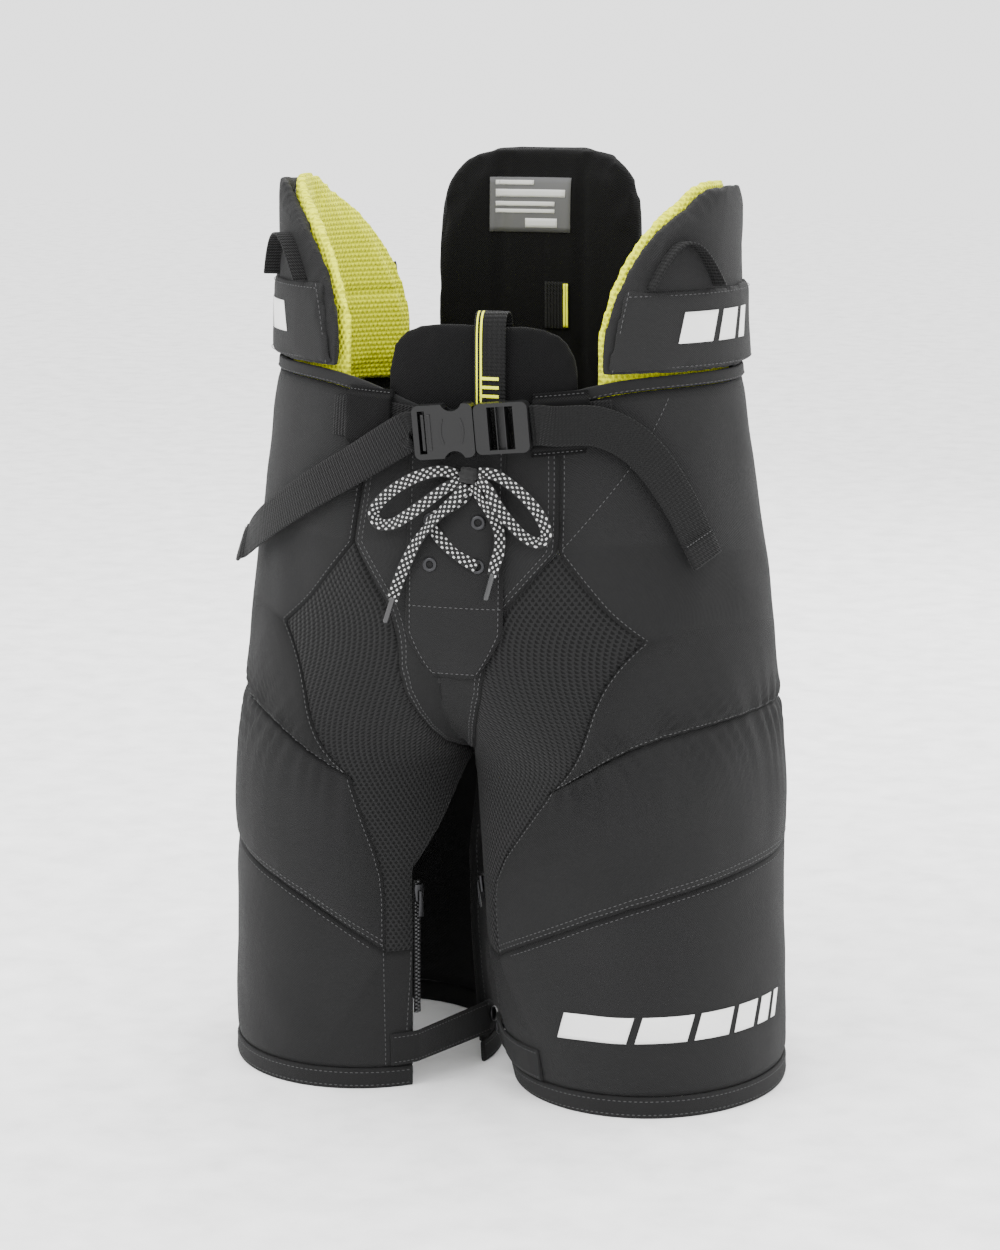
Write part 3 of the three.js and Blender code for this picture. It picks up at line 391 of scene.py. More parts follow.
# A grid drawn over a surface: surface(u, v) gives points, outward normals and weave places.
def gridMesh(surface, columns, rows, crowd=0.0, closed=False, capped=False, keepOutward=False):
    bm = bmesh.new()
    bmesh.ops.create_grid(bm, x_segments=columns, y_segments=rows, size=0.5)
    u = np.clip(np.array([vert.co.x for vert in bm.verts]) + 0.5, 0, 1)
    v = np.clip(np.array([vert.co.y for vert in bm.verts]) + 0.5, 0, 1)
    if crowd:
        u = u - crowd * np.sin(2 * np.pi * u) / (2 * np.pi)
        v = v - crowd * np.sin(2 * np.pi * v) / (2 * np.pi)
    points, outward, weave = surface(u, v)
    layer = bm.verts.layers.float_vector.new("weave")
    for vert, point, place in zip(bm.verts, points * mm, weave * mm):
        vert.co = point
        vert[layer] = place
    if keepOutward:
        facingLayer = bm.verts.layers.float_vector.new("outward")
        for vert, n in zip(bm.verts, outward):
            vert[facingLayer] = n
    if closed or capped:
        bmesh.ops.remove_doubles(bm, verts=bm.verts, dist=2e-6)
    if capped:
        rim = [e for e in bm.edges if e.is_boundary]
        bmesh.ops.holes_fill(bm, edges=rim, sides=0)
    if outward is None:
        bmesh.ops.recalc_face_normals(bm, faces=bm.faces)
    else:
        bm.normal_update()
        bm.verts.index_update()
        facing = sum(vert.normal.dot(Vector(n)) for vert, n in zip(bm.verts, outward)) if not closed else 0
        if facing < 0:
            bmesh.ops.reverse_faces(bm, faces=bm.faces)
    return bm


def thicken(piece, thickness, bevel=0.0):
    solid = piece.modifiers.new("thickness", "SOLIDIFY")
    solid.thickness = thickness * mm
    solid.offset = -1
    if bevel:
        edge = piece.modifiers.new("edge", "BEVEL")
        edge.width = bevel * mm
        edge.segments = 2
        edge.limit_method = "ANGLE"
        edge.angle_limit = math.radians(50)
    return piece


def drift(points, scale, seed):
    start = Vector((seed * 7.3, seed * 3.1, seed * 5.7))
    return np.array([noise.noise(Vector(p) / scale + start) for p in points])


def lengthsAlong(points):
    return np.concatenate([[0], np.cumsum(np.linalg.norm(np.diff(points, axis=0), axis=1))])


def smoothLine(points, count):
    points = np.array(points, float)
    padded = np.vstack([2 * points[0] - points[1], points, 2 * points[-1] - points[-2]])
    dense = []
    for i in range(1, len(padded) - 2):
        a, b, c, d = padded[i - 1:i + 3]
        t = np.linspace(0, 1, 24, endpoint=False)[:, None]
        bend, turn = 2 * a - 5 * b + 4 * c - d, 3 * b - a - 3 * c + d
        dense.append(0.5 * (2 * b + (c - a) * t + bend * t**2 + turn * t**3))
    return resample(np.vstack([*dense, padded[-2]]), count)


def resample(points, count):
    steps = lengthsAlong(points)
    wanted = np.linspace(0, steps[-1], count)
    return np.stack([np.interp(wanted, steps, points[:, k]) for k in range(points.shape[1])], -1)


# The distance from an edge, where a piece has no sewn edge to darken with seam dirt and painted shade.
def unsewn(u):
    return np.full(len(u), 9.0)


def unit(vectors):
    return vectors / np.linalg.norm(vectors, axis=-1, keepdims=True)


# A band swept along points, its flat side looking the way that looks says; lift 0 keeps its foot on them.
def sweep(points, looksOut, width, thickness, corners=16, power=5.0, centred=False, widthAt=None,
          thickAt=None):
    tangents = unit(np.gradient(points, axis=0))
    across = unit(np.cross(tangents, looksOut))
    faces = np.cross(across, tangents)
    steps = lengthsAlong(points)
    count = len(points)

    def surface(u, v):
        i = np.rint(u * (count - 1)).astype(int)
        turn = 2 * np.pi * v
        c, s = np.cos(turn), np.sin(turn)
        a = np.sign(c) * np.abs(c) ** (2 / power)
        b = np.sign(s) * np.abs(s) ** (2 / power)
        wide = width / 2 * (1 if widthAt is None else widthAt(u))
        thick = thickness / 2 * (1 if thickAt is None else thickAt(u))
        lift = thick * b + (0 if centred else thick)
        place = points[i] + across[i] * (a * wide)[:, None] + faces[i] * lift[:, None]
        return place, None, np.stack([steps[i], a * wide, unsewn(u)], -1)

    return gridMesh(surface, count - 1, corners, closed=True, capped=True)


def strapPiece(name, points, looksOut, width, thickness, look, body="shell", replaced=(), **extra):
    return finishPiece(name, sweep(points, looksOut, width, thickness, **extra), look, body, replaced)


# Rows of stitches along lines of surface points.
def stitchPiece(name, rows, body="shell", pitch=3.4, length=2.5, thick=0.62, look="thread",
                slot="shell_cloth"):
    bm = bmesh.new()
    for points, normals in rows:
        steps = lengthsAlong(points)
        for at in np.arange(pitch / 2, steps[-1], pitch):
            i = min(np.searchsorted(steps, at), len(points) - 1)
            ahead = Vector(points[i] - points[i - 1]).normalized()
            up = Vector(normals[i])
            side = up.cross(ahead).normalized()
            up = ahead.cross(side)
            share = (at - steps[i - 1]) / max(steps[i] - steps[i - 1], 1e-6)
            place = Vector(points[i - 1] + share * (points[i] - points[i - 1])) * mm
            turn = Matrix((ahead * length / 2 * mm, side * thick / 2 * mm,
                           up * thick / 2.4 * mm)).transposed().to_4x4()
            bmesh.ops.create_icosphere(bm, subdivisions=1, radius=1, matrix=Matrix.Translation(place) @ turn)
    piece = finishPiece(name, bm, look, None, slot=slot)
    if body:
        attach(piece, body)
    return piece


# seams of a leg, shared by the panels on both sides of them

gather = dict(period=6.3, depth=1.9, reach=24)
cut = dict(gusset=32, corner=360, mesh=(51, 303), pucker=208, puckerRise=42, knee=93, kneeRise=64, side=108,
           slitTop=146, slitFront=dict(right=-36, left=-60), slitRear=dict(right=283, left=294),
           binding=dict(right=-26, left=-42), crotchEnd=(-72, crotch + 6), seatFoot=crotch + 34, hem=14)


def seam(places, counts, soften=0):
    line = []
    for (here, there), count in zip(zip(places, places[1:]), counts):
        for k in range(count):
            line.append([a + (b - a) * k / count for a, b in zip(here, there)])
    line = np.array([*line, places[-1]], float)
    for _ in range(soften):
        line[1:-1] = (line[:-2] + 2 * line[1:-1] + line[2:]) / 4
    return line


def join(*lines):
    return np.vstack([lines[0], *[line[1:] for line in lines[1:]]])


def seamsOf(sign, name):
    front0, rear, binding = cut["slitFront"][name], cut["slitRear"][name], cut["binding"][name]
    corner, side = (cut["gusset"], cut["corner"]), cut["side"]
    pucker, knee = (-13, cut["pucker"]), (binding, cut["knee"])
    kneeSide, puckerSide = (side, cut["knee"] + cut["kneeRise"]), (side, cut["pucker"] + cut["puckerRise"])
    waistAngles = np.linspace(cut["gusset"], side, 12)
    waistFront = np.stack([waistAngles, waistEdge(sign, waistAngles)], -1)

    def backLine(low, high, count):
        z = np.linspace(low, high, count + 1)
        return np.stack([180 - centreAngle(sign, z), z], -1)

    upper = backLine(cut["seatFoot"], waist, 13)
    return dict(
        waistFront=waistFront, backLine=upper,
        gussetUpper=seam([corner, waistFront[0]], [3]),
        gussetLower=seam([cut["crotchEnd"], (-43, 226), (-10, 265), (11, 301), corner], [2, 3, 2, 1], 1),
        meshTop=seam([corner, cut["mesh"]], [4]),
        bindingUpper=seam([pucker, (21, 261), cut["mesh"]], [3, 3], 1),
        bindingLower=seam([knee, (binding, cut["slitTop"] - 4), pucker], [3, 4], 1),
        meshFoot=seam([(front0, cut["knee"]), knee], [4]),
        meshInner=seam([(front0, cut["knee"]), (front0, cut["slitTop"]), cut["crotchEnd"]], [3, 2]),
        pucker=seam([pucker, (10, 232), (34, 246), (74, 253), puckerSide], [2, 2, 3, 4], 2),
        kneeSeam=seam([knee, (12, 139), (54, 154), kneeSide], [4, 3, 4], 2),
        slitFoot=seam([(front0, cut["hem"]), (front0, cut["knee"])], [4]),
        sideUpper=seam([puckerSide, (side, 290), (side, cut["corner"] - 20), waistFront[-1]], [6, 4, 3]),
        sideThigh=seam([kneeSide, puckerSide], [7]),
        sideLower=seam([(side, cut["hem"]), kneeSide], [4]),
        seatSeam=seam([puckerSide, (190, crotch + 42), upper[0]], [5, 7], 1),
        rearInner=np.vstack([seam([(rear, cut["hem"]), (rear, cut["slitTop"]), (271, crotch - 3)], [4, 3]),
                             backLine(crotch + 3, cut["seatFoot"], 3)]),
        hemFront=seam([(front0, cut["hem"]), (side, cut["hem"])], [15]),
        hemRear=seam([(side, cut["hem"]), (rear, cut["hem"])], [12]))


def alongSeam(line, t):
    steps = np.linspace(0, 1, len(line))
    return np.stack([np.interp(t, steps, line[:, k]) for k in range(2)], -1)


class Panel:
    plumb = False

    def __init__(self, sign, bottom, top, near, far, puff=2.2, folds=None, depth=0.0):
        self.sign, self.edges = sign, (bottom, top, near, far)
        self.puff, self.folds, self.depth = puff, folds, depth
        ticks = np.linspace(0, 1, 25)
        self.ticks = ticks
        self.rowLength = np.array([self.span(ticks, np.full(25, v)) for v in ticks])
        self.columnLength = np.array([self.span(np.full(25, u), ticks) for u in ticks])

    def span(self, u, v):
        angle, z = self.place(u, v).T
        return lengthsAlong(bare(self.side(u), angle, z))[-1]

    def side(self, u):
        return np.full(np.shape(u), float(self.sign))

    def place(self, u, v):
        bottom, top, near, far = self.edges
        u1, v1 = u[:, None], v[:, None]
        ruled = (1 - v1) * alongSeam(bottom, u) + v1 * alongSeam(top, u)
        ruled = ruled + (1 - u1) * alongSeam(near, v) + u1 * alongSeam(far, v)
        foot, head = ((1 - u1) * line[0] + u1 * line[-1] for line in (bottom, top))
        return ruled - (1 - v1) * foot - v1 * head

    def at(self, u, v, extra=0.0):
        angle, z = self.place(u, v).T
        wide, tall = np.interp(v, self.ticks, self.rowLength), np.interp(u, self.ticks, self.columnLength)
        edge = np.minimum.reduce([u * wide, (1 - u) * wide, v * tall, (1 - v) * tall])
        sign = self.side(u)
        base, n = bare(sign, angle, z), normalAt(sign, angle, z)
        out = self.depth + self.puff * (1 - np.exp(-edge / 13)) + extra
        out = out - shell["seamDip"] * np.exp(-(edge / shell["seamWidth"]) ** 2)
        if self.folds:
            out = out + self.folds(base, angle, v * tall, (1 - v) * tall) * (1 - np.exp(-edge / 5))
        across, up = (angle * shell["perDegree"], z) if self.plumb else (u * wide, v * tall)
        return base + n * out[:, None], n, np.stack([across, up, edge], -1)

    def make(self, name, look, replaced, spacing=4.2, crowd=0.5, thickness=shell["thickness"]):
        columns = max(10, int(self.rowLength.max() / spacing))
        rows = max(10, int(self.columnLength.max() / spacing))
        piece = finishPiece(name, gridMesh(self.at, columns, rows, crowd), look, replaced=replaced)
        self.piece = piece
        thicken(piece, thickness)
        return piece

    # A line of stitches a few millimetres inside one edge, from one share of it to another.
    def edgeLine(self, which, inset=3.2, low=0.01, high=0.99):
        t = np.linspace(low, high, 120)
        if which in ("bottom", "top"):
            share = inset / np.interp(t, self.ticks, self.columnLength)
            u, v = t, (share if which == "bottom" else 1 - share)
        else:
            share = inset / np.interp(t, self.ticks, self.rowLength)
            u, v = (share if which == "near" else 1 - share), t
        points, normals, _ = self.at(u, v)
        return points + normals * 0.12, normals


def slump(base, depth, seed, scale=58):
    squashed = base * np.array([1, 1, 0.8])
    return depth * drift(squashed, scale, seed) + 0.4 * depth * drift(squashed, scale * 0.42, seed + 3)


def gathers(angle, away):
    uneven = 1.4 * np.sin(angle * 0.13) + 0.8 * np.sin(angle * 0.31)
    wave = np.cos(2 * np.pi * angle / gather["period"] + uneven)
    small = np.cos(2 * np.pi * angle / (gather["period"] * 0.47) + 2.0)
    near = np.exp(-away / gather["reach"])
    return gather["depth"] * wave * near * (0.55 + 0.45 * near) + 0.5 * small * np.exp(-away / 9)


extraSeams = dict(left=[[(33, 362), (44, 392), (53, 418), (58, 436), (62, 452)]],
                  right=[[(-25, 96), (-25, 50), (-25, 16)]])


# The places on a piece's outer face that lie straight below each point, along its normal.
def hugged(piece, points, normals, lift, reach=25):
    tree = BVHTree.FromPolygons([v.co for v in piece.data.vertices],
                                [tuple(f.vertices) for f in piece.data.polygons])
    found = []
    for point, normal in zip(points, normals):
        hit = tree.ray_cast(Vector(point + normal * reach) * mm, -Vector(normal), 2 * reach * mm)[0]
        found.append(np.array(hit) / mm if hit else point)
    return np.array(found) + normals * lift, normals


def hugging(piece, surface, lift):
    def onTop(u, v):
        points, normals, weave = surface(u, v)
        return *hugged(piece, points, normals, lift), weave
    return onTop


def makePanels():
    for side, name, sign in sides:
        s = seamsOf(sign, name)
        seed = 2 + sign

        def puckered(away):
            return lambda base, angle, low, high: slump(base, 2.2, seed) + gathers(angle, away(low, high))

        plain = lambda depth: (lambda base, angle, low, high: slump(base, depth, seed + 5))
        near = join(s["bindingUpper"], s["meshTop"][::-1], s["gussetUpper"])
        sidePanel = Panel(sign, s["pucker"], s["waistFront"], near, s["sideUpper"], 2.6,
                          puckered(lambda low, high: low))
        thigh = Panel(sign, s["kneeSeam"], s["pucker"], s["bindingLower"], s["sideThigh"], 3.0,
                      puckered(lambda low, high: high))
        lower = Panel(sign, s["hemFront"], join(s["meshFoot"], s["kneeSeam"]), s["slitFoot"], s["sideLower"],
                      2.0, plain(1.6))
        mesh = Panel(sign, s["meshFoot"], s["meshTop"], join(s["meshInner"], s["gussetLower"]),
                     join(s["bindingLower"], s["bindingUpper"]), 1.2, plain(1.8))
        mesh.plumb = True
        seatAngles = np.linspace(cut["side"], 180, 13)
        seatTop = np.stack([seatAngles, np.full(13, float(waist))], -1)
        seat = Panel(sign, s["seatSeam"], seatTop, s["sideUpper"], s["backLine"], 2.4, plain(2.6))
        rear = Panel(sign, s["hemRear"], s["seatSeam"], join(s["sideLower"], s["sideThigh"]), s["rearInner"],
                     2.4, plain(2.4))
        for part, label, look, spacing in ((sidePanel, "side_panel", "shellCloth", 3.4),
                                           (thigh, "thigh_panel", "shellCloth", 3.2),
                                           (lower, "lower_panel", "shellCloth", 4.4),
                                           (mesh, "mesh_panel", "thighMesh", 4.0),
                                           (seat, "seat_panel", "shellCloth", 4.6),
                                           (rear, "rear_leg_panel", "shellCloth", 4.8)):
            words = label.split("_")
            pieceName = words[0] + "".join(w.title() for w in words[1:]) + side
            part.make(pieceName, look, [label + "_" + name], spacing, 0.35 if spacing < 3.5 else 0.5)
        rows = [sidePanel.edgeLine("bottom"), sidePanel.edgeLine("near"),
                sidePanel.edgeLine("far", 3.2, 0.02, 0.97),
                thigh.edgeLine("bottom"), thigh.edgeLine("bottom", 6.6), thigh.edgeLine("near"),
                thigh.edgeLine("far"),
                lower.edgeLine("top", 3.2, 0.3, 0.99), lower.edgeLine("near", 6), lower.edgeLine("far"),
                seat.edgeLine("bottom"), seat.edgeLine("far"), rear.edgeLine("near"),
                rear.edgeLine("top", 3.2), rear.edgeLine("far", 6, 0.01, 0.42)]
        for line in extraSeams[name]:
            angle, z = smoothLine([(a, h, 0) for a, h in line], 90)[:, :2].T
            points, normals = bare(sign, angle, z), normalAt(sign, angle, z)
            rows.append(hugged(lower.piece if z[0] < 200 else sidePanel.piece, points, normals, 0.12))
        stitchPiece("panelStitches" + side, rows)
        panels[name] = dict(lower=lower, seams=s)


panels = {}
makePanels()
print("panels made")


# the crotch gusset crosses the centre line; its middle is u 0.5

class Gusset(Panel):
    def __init__(self, folds):
        self.halves = {}
        for _, name, sign in sides:
            s = panels[name]["seams"]
            far = join(s["gussetLower"], s["gussetUpper"])
            z = np.linspace(crotch + 3, float(waistEdge(1, 0)), len(far))
            near = np.stack([centreAngle(sign, z), z], -1)
            angles = np.linspace(0, cut["gusset"], 6)
            top = np.stack([angles, waistEdge(sign, angles)], -1)
            self.halves[sign] = Panel(sign, seam([near[0], far[0]], [5]), top, near, far)
        super().__init__(1, None, None, None, None, 1.6, folds)

    def side(self, u):
        return np.where(np.asarray(u) < 0.5, -1.0, 1.0)

    def place(self, u, v):
        share, side = np.abs(2 * u - 1), self.side(u)
        left, right = self.halves[1].place(share, v), self.halves[-1].place(share, v)
        return np.where(side[:, None] > 0, left, right)


def makeGusset():
    gusset = Gusset(lambda base, angle, low, high: slump(base, 1.5, 9))
    gusset.make("crotchGusset", "shellCloth", ["crotch_gusset"], 3.8)
    stitchPiece("gussetStitches", [gusset.edgeLine("near"), gusset.edgeLine("far"),
                                   gusset.edgeLine("near", 6.4), gusset.edgeLine("far", 6.4)])


# waist binding and folded hems: closed bands that follow the surface

def bandAround(name, place, out, rise, columns, look, replaced, closedRing=False):
    def surface(u, v):
        sign, angle, base = place(u)
        c, s = np.cos(2 * np.pi * v), np.sin(2 * np.pi * v)
        across, lift = np.sign(c) * np.abs(c) ** 0.45, np.sign(s) * np.abs(s) ** 0.5
        height = base + (rise[0] + rise[1]) / 2 + (rise[1] - rise[0]) / 2 * across
        depth = (out[0] + out[1]) / 2 + (out[1] - out[0]) / 2 * lift
        points = skin(sign, angle, height, depth)
        return points, None, np.stack([u * 900, (across + 1) * (rise[1] - rise[0]) / 2, unsewn(u)], -1)

    bm = gridMesh(surface, columns, 18, closed=True, capped=not closedRing)
    return finishPiece(name, bm, look, replaced=replaced)


binding = dict(out=(-2.8, 0.9), rise=(0.35, 8.2), hemOut=(-2.1, 1.0), hemRise=(0.0, 14.0))


def ringPlace(u):
    full = 360 * np.mod(u, 1)
    sign = np.where(full <= 180, 1.0, -1.0)
    angle = np.where(full <= 180, full, 360 - full)
    return sign, angle, waistEdge(sign, angle)


def makeBands():
    bandAround("waistBinding", ringPlace, binding["out"], binding["rise"], 220, "shellCloth", ["waistband"],
               True)
    u = np.linspace(0, 1, 500)
    sign, angle, edge = ringPlace(u)
    stitchPiece("waistStitches", [(skin(sign, angle, edge + 1.6, 1.0), normalAt(sign, angle, edge + 1.6))])
    for side, name, sign in sides:
        start, end = cut["slitFront"][name] + 0.3, cut["slitRear"][name] - 0.3
        place = lambda u: (np.full(len(u), float(sign)), start + (end - start) * u, np.zeros(len(u)))
        bandAround("hemBand" + side, place, binding["hemOut"], binding["hemRise"], 150, "shellCloth",
                   ["hem_band_" + name])
        rows = []
        for z in (11.4, 2.6):
            angles = np.linspace(start + 1, end - 1, 400)
            rows.append((skin(sign, angles, z, 1.0), normalAt(sign, angles, np.full(400, z))))
        stitchPiece("hemStitches" + side, rows)


placket = dict(half=31, foot=281, out=2.3, thickness=1.2, stitch=3.0, cross=325,
               eyelets=((15, 378), (15, 351), (-15, 378), (-15, 351)))


def turned(profilePoints, steps=32):
    bm = bmesh.new()
    verts = [bm.verts.new((r * mm, 0, z * mm)) for r, z in profilePoints]
    edges = [bm.edges.new(pair) for pair in zip(verts, verts[1:])]
    bmesh.ops.spin(bm, geom=verts + edges, axis=(0, 0, 1), cent=(0, 0, 0), angle=2 * math.pi, steps=steps,
                   use_merge=True)
    bmesh.ops.remove_doubles(bm, verts=bm.verts, dist=1e-6)
    bmesh.ops.recalc_face_normals(bm, faces=bm.faces)
    return bm


def facing(point, normal):
    turn = Vector(normal).to_track_quat("Z", "Y").to_matrix().to_4x4()
    return Matrix.Translation(Vector(point) * mm) @ turn


def placed(bm, matrix):
    bmesh.ops.transform(bm, matrix=matrix, verts=bm.verts)
    return bm


def makePlacket():
    top = float(waistEdge(1, 0)) - 5

    def width(z):
        return placket["half"] * np.sqrt(np.clip((z - placket["foot"] + 6) / 34, 0.1, 1))

    def surface(u, v):
        z = placket["foot"] + v * (top - placket["foot"])
        x = (2 * u - 1) * width(z)
        edge = np.minimum.reduce([(x + width(z)), (width(z) - x), z - placket["foot"], top - z])
        base = front(x, z)
        out = placket["out"] + 1.1 * (1 - np.exp(-edge / 5)) + 0.7 * drift(base, 34, 4)
        n = normalAt(*angleAtX(x, z), z)
        return base + n * out[:, None], n, np.stack([x, z, edge], -1)

    piece = finishPiece("flyPlacket", gridMesh(surface, 24, 52, 0.4), "shellCloth", replaced=["fly_placket"])
    thicken(piece, placket["thickness"])
    t = np.linspace(0.02, 0.98, 120)
    inset = placket["stitch"] / 62
    rows = [(np.full(120, inset), t), (np.full(120, 1 - inset), t), (t, np.full(120, 0.02)),
            (t, np.full(120, (placket["cross"] - placket["foot"]) / (top - placket["foot"])))]
    lines = []
    for u, v in rows:
        points, normals, _ = surface(u, v)
        lines.append((points + normals * 0.12, normals))
    stitchPiece("placketStitches", lines)
    for k, (x, z) in enumerate(placket["eyelets"]):
        share = (z - placket["foot"]) / (top - placket["foot"])
        point, normal, _ = surface(np.array([(x / width(z) + 1) / 2]), np.array([share]))
        ring = turned([(2.1, -0.4), (2.2, 0.5), (3.1, 1.1), (4.3, 0.8), (4.7, 0.1), (4.6, -0.4), (2.1, -0.4)],
                      28)
        finishPiece("eyelet%d" % (k + 1), placed(ring, facing(point[0], normal[0])), "snap")


makeGusset()
makeBands()
makePlacket()
print("gusset, bands and placket made")


# belt, keepers, buckle and the two hanging tails

belt = dict(width=25, thickness=1.7, height=434, out=2.55, buckleX=14, tilt=5, buckleOut=5.85, depth=4.5,
            socket=38, plug=34, keeperWidth=32, keepers=dict(left=46, right=-42), lift=4.9, foot=0.95)


def frontNormals(points):
    return normalAt(*angleAtX(points[:, 0], points[:, 2]), points[:, 2])


def buckleFrame():
    normal = normalAt(*angleAtX(belt["buckleX"], belt["height"]), np.array(float(belt["height"])))
    normal = unit(normal * np.array([1, 1, 0]))
    along = np.cross((0, 0, 1), normal)
    tilt = math.radians(belt["tilt"])
    up = np.array((0.0, 0.0, 1.0))
    u = along * math.cos(tilt) + up * math.sin(tilt)
    centre = front(belt["buckleX"], belt["height"] + 2, belt["buckleOut"])
    return centre, u, normal


def makeBelt():
    height, out = belt["height"], belt["out"]
    route = [(-84, height + 4, out), (-50, height + 3, out), (-10, height - 1, out + 0.3),
             (belt["buckleX"], height, out + 0.3), (55, height + 4, out), (92, height + 7, out)]
    places = smoothLine(route, 90)
    points = front(places[:, 0], places[:, 1], places[:, 2])
    strapPiece("beltWebbing", points, frontNormals(points), belt["width"], belt["thickness"], "webbing",
               replaced=["belt_webbing"])
    for side, name, sign in sides:
        x0 = belt["keepers"]["left"] if sign > 0 else belt["keepers"]["right"] - belt["keeperWidth"]
        middle, slope = (height + 5, 0.09) if sign > 0 else (height + 3.5, -0.03)

        def surface(u, v):
            x = x0 + belt["keeperWidth"] * u
            r = 3.1 * v - 1.55
            z = middle + slope * (x - x0 - 16) + r * belt["width"] / 2
            over = np.clip((1.34 - np.abs(r)) / 0.24, 0, 1)
            over = over * over * (3 - 2 * over)
            edge = np.minimum(u, 1 - u) * belt["keeperWidth"]
            base = front(x, z)
            lift = belt["foot"] + (belt["lift"] - belt["foot"]) * over + 1.4 + 0.5 * drift(base, 11, 8 + sign)
            n = frontNormals(base)
            return base + n * (lift - 0.5 * np.exp(-edge / 1.6))[:, None], n, np.stack([x, z, edge + 1.5], -1)

        piece = finishPiece("beltKeeper" + side, gridMesh(surface, 20, 40), "liningCloth",
                            replaced=["belt_keeper_" + name])
        thicken(piece, 1.4)
        t = np.linspace(0.03, 0.97, 60)
        lines = []
        for v in (0.05, 0.95):
            points, normals, _ = surface(t, np.full(60, v))
            lines.append((points + normals * 0.1, normals))
        stitchPiece("keeperStitches" + side, lines, pitch=2.8, length=2.0)
    centre, u, normal = buckleFrame()
    tails = (("beltTailPlugSide", "buckle_plug", "belt_tail_plug_side", 1,
              (belt["plug"] + 0.7, belt["plug"] + 6),
              [(31, height + 4, 10.85), (43, height + 3, 9.85), (53, height - 12, 9.35),
               (61, height - 43, 8.35), (67, height - 82, 9.35)]),
             ("beltTailSocketSide", "shell", "belt_tail_socket_side", -1,
              (-belt["socket"] - 0.7, -belt["socket"] - 6),
              [(32, height - 25, 9.85), (47, height - 46, 9.35), (62, height - 70, 10.35),
               (75, height - 92, 13.35)]))
    for name, body, node, sign, starts, rest in tails:
        first = [centre + u * s + normal * belt["depth"] for s in starts]
        line = smoothLine([*first, *[skin(sign, a, z, out) for a, z, out in rest]], 110)
        share = np.clip(np.linspace(0, 1, 110) / 0.28, 0, 1)[:, None]
        near, angle = angleAtX(line[:, 0], line[:, 2])
        face = unit(normalAt(near, np.minimum(angle, 88), line[:, 2]) * share + normal * (1 - share))
        foldAt, folded = (0.9, 1.9) if sign > 0 else (0.955, 1.7)
        thick = lambda t: np.where(t > foldAt, folded, 1.0)
        strapPiece(name, line, face, belt["width"] - 0.4, belt["thickness"], "webbing", body, [node],
                   thickAt=thick)
        across = unit(np.cross(unit(np.gradient(line, axis=0)), face))
        outer = line + face * (belt["thickness"] * 2.0)
        at = 98 if sign > 0 else 105
        row = np.linspace(-10.5, 10.5, 30)[:, None]
        stitchPiece(name + "Stitches", [(outer[at] + across[at] * row, np.repeat(face[at][None], 30, 0))],
                    body, 2.4, 1.8, slot="webbing")


def bevelledCopy(node, name, look, body, width, stay=0.45):
    bm = bmesh.new()
    bm.from_mesh(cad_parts[node].data)
    bmesh.ops.remove_doubles(bm, verts=bm.verts, dist=2e-6)
    bmesh.ops.dissolve_limit(bm, angle_limit=math.radians(2), verts=bm.verts, edges=bm.edges)
    sharp = [e for e in bm.edges if len(e.link_faces) == 2 and e.calc_face_angle(0) > stay]
    bmesh.ops.bevel(bm, geom=sharp, offset=width * mm, offset_type="OFFSET", affect="EDGES", segments=3,
                    profile=0.5, material=-1, clamp_overlap=True)
    piece = finishPiece(name, bm, look, body, [node])
    normals = piece.modifiers.new("shading", "WEIGHTED_NORMAL")
    normals.keep_sharp = True
    return piece


def makeBuckle():
    bevelledCopy("buckle_socket", "buckleSocket", "buckle", "shell", 0.7)
    bevelledCopy("buckle_plug", "bucklePlug", "buckle", "buckle_plug", 0.6)
    centre, u, normal = buckleFrame()
    v = np.cross(normal, u)
    for k, s in enumerate((-31.5, -27.5)):
        row = centre + u * s + v * np.linspace(-11, 11, 24)[:, None] + normal * 10.6
        strapPiece("socketRib%d" % (k + 1), row, np.repeat(normal[None], 24, 0), 1.8, 1.0, "buckle")
    arc = np.linspace(-1, 1, 30)
    for k, s in enumerate((-19, -8)):
        line = centre + np.outer(s + 1.6 * (1 - arc**2) * (1 if k else -1),
                                 u) + np.outer(arc * 7.5, v) + normal * 10.75
        strapPiece("plateRidge%d" % (k + 1), line, np.repeat(normal[None], 30, 0), 1.1, 0.7, "buckle")


makeBelt()
makeBuckle()
print("belt and buckle made")


# laces: flat braid on the routes [x, height above the knot, distance off the placket]

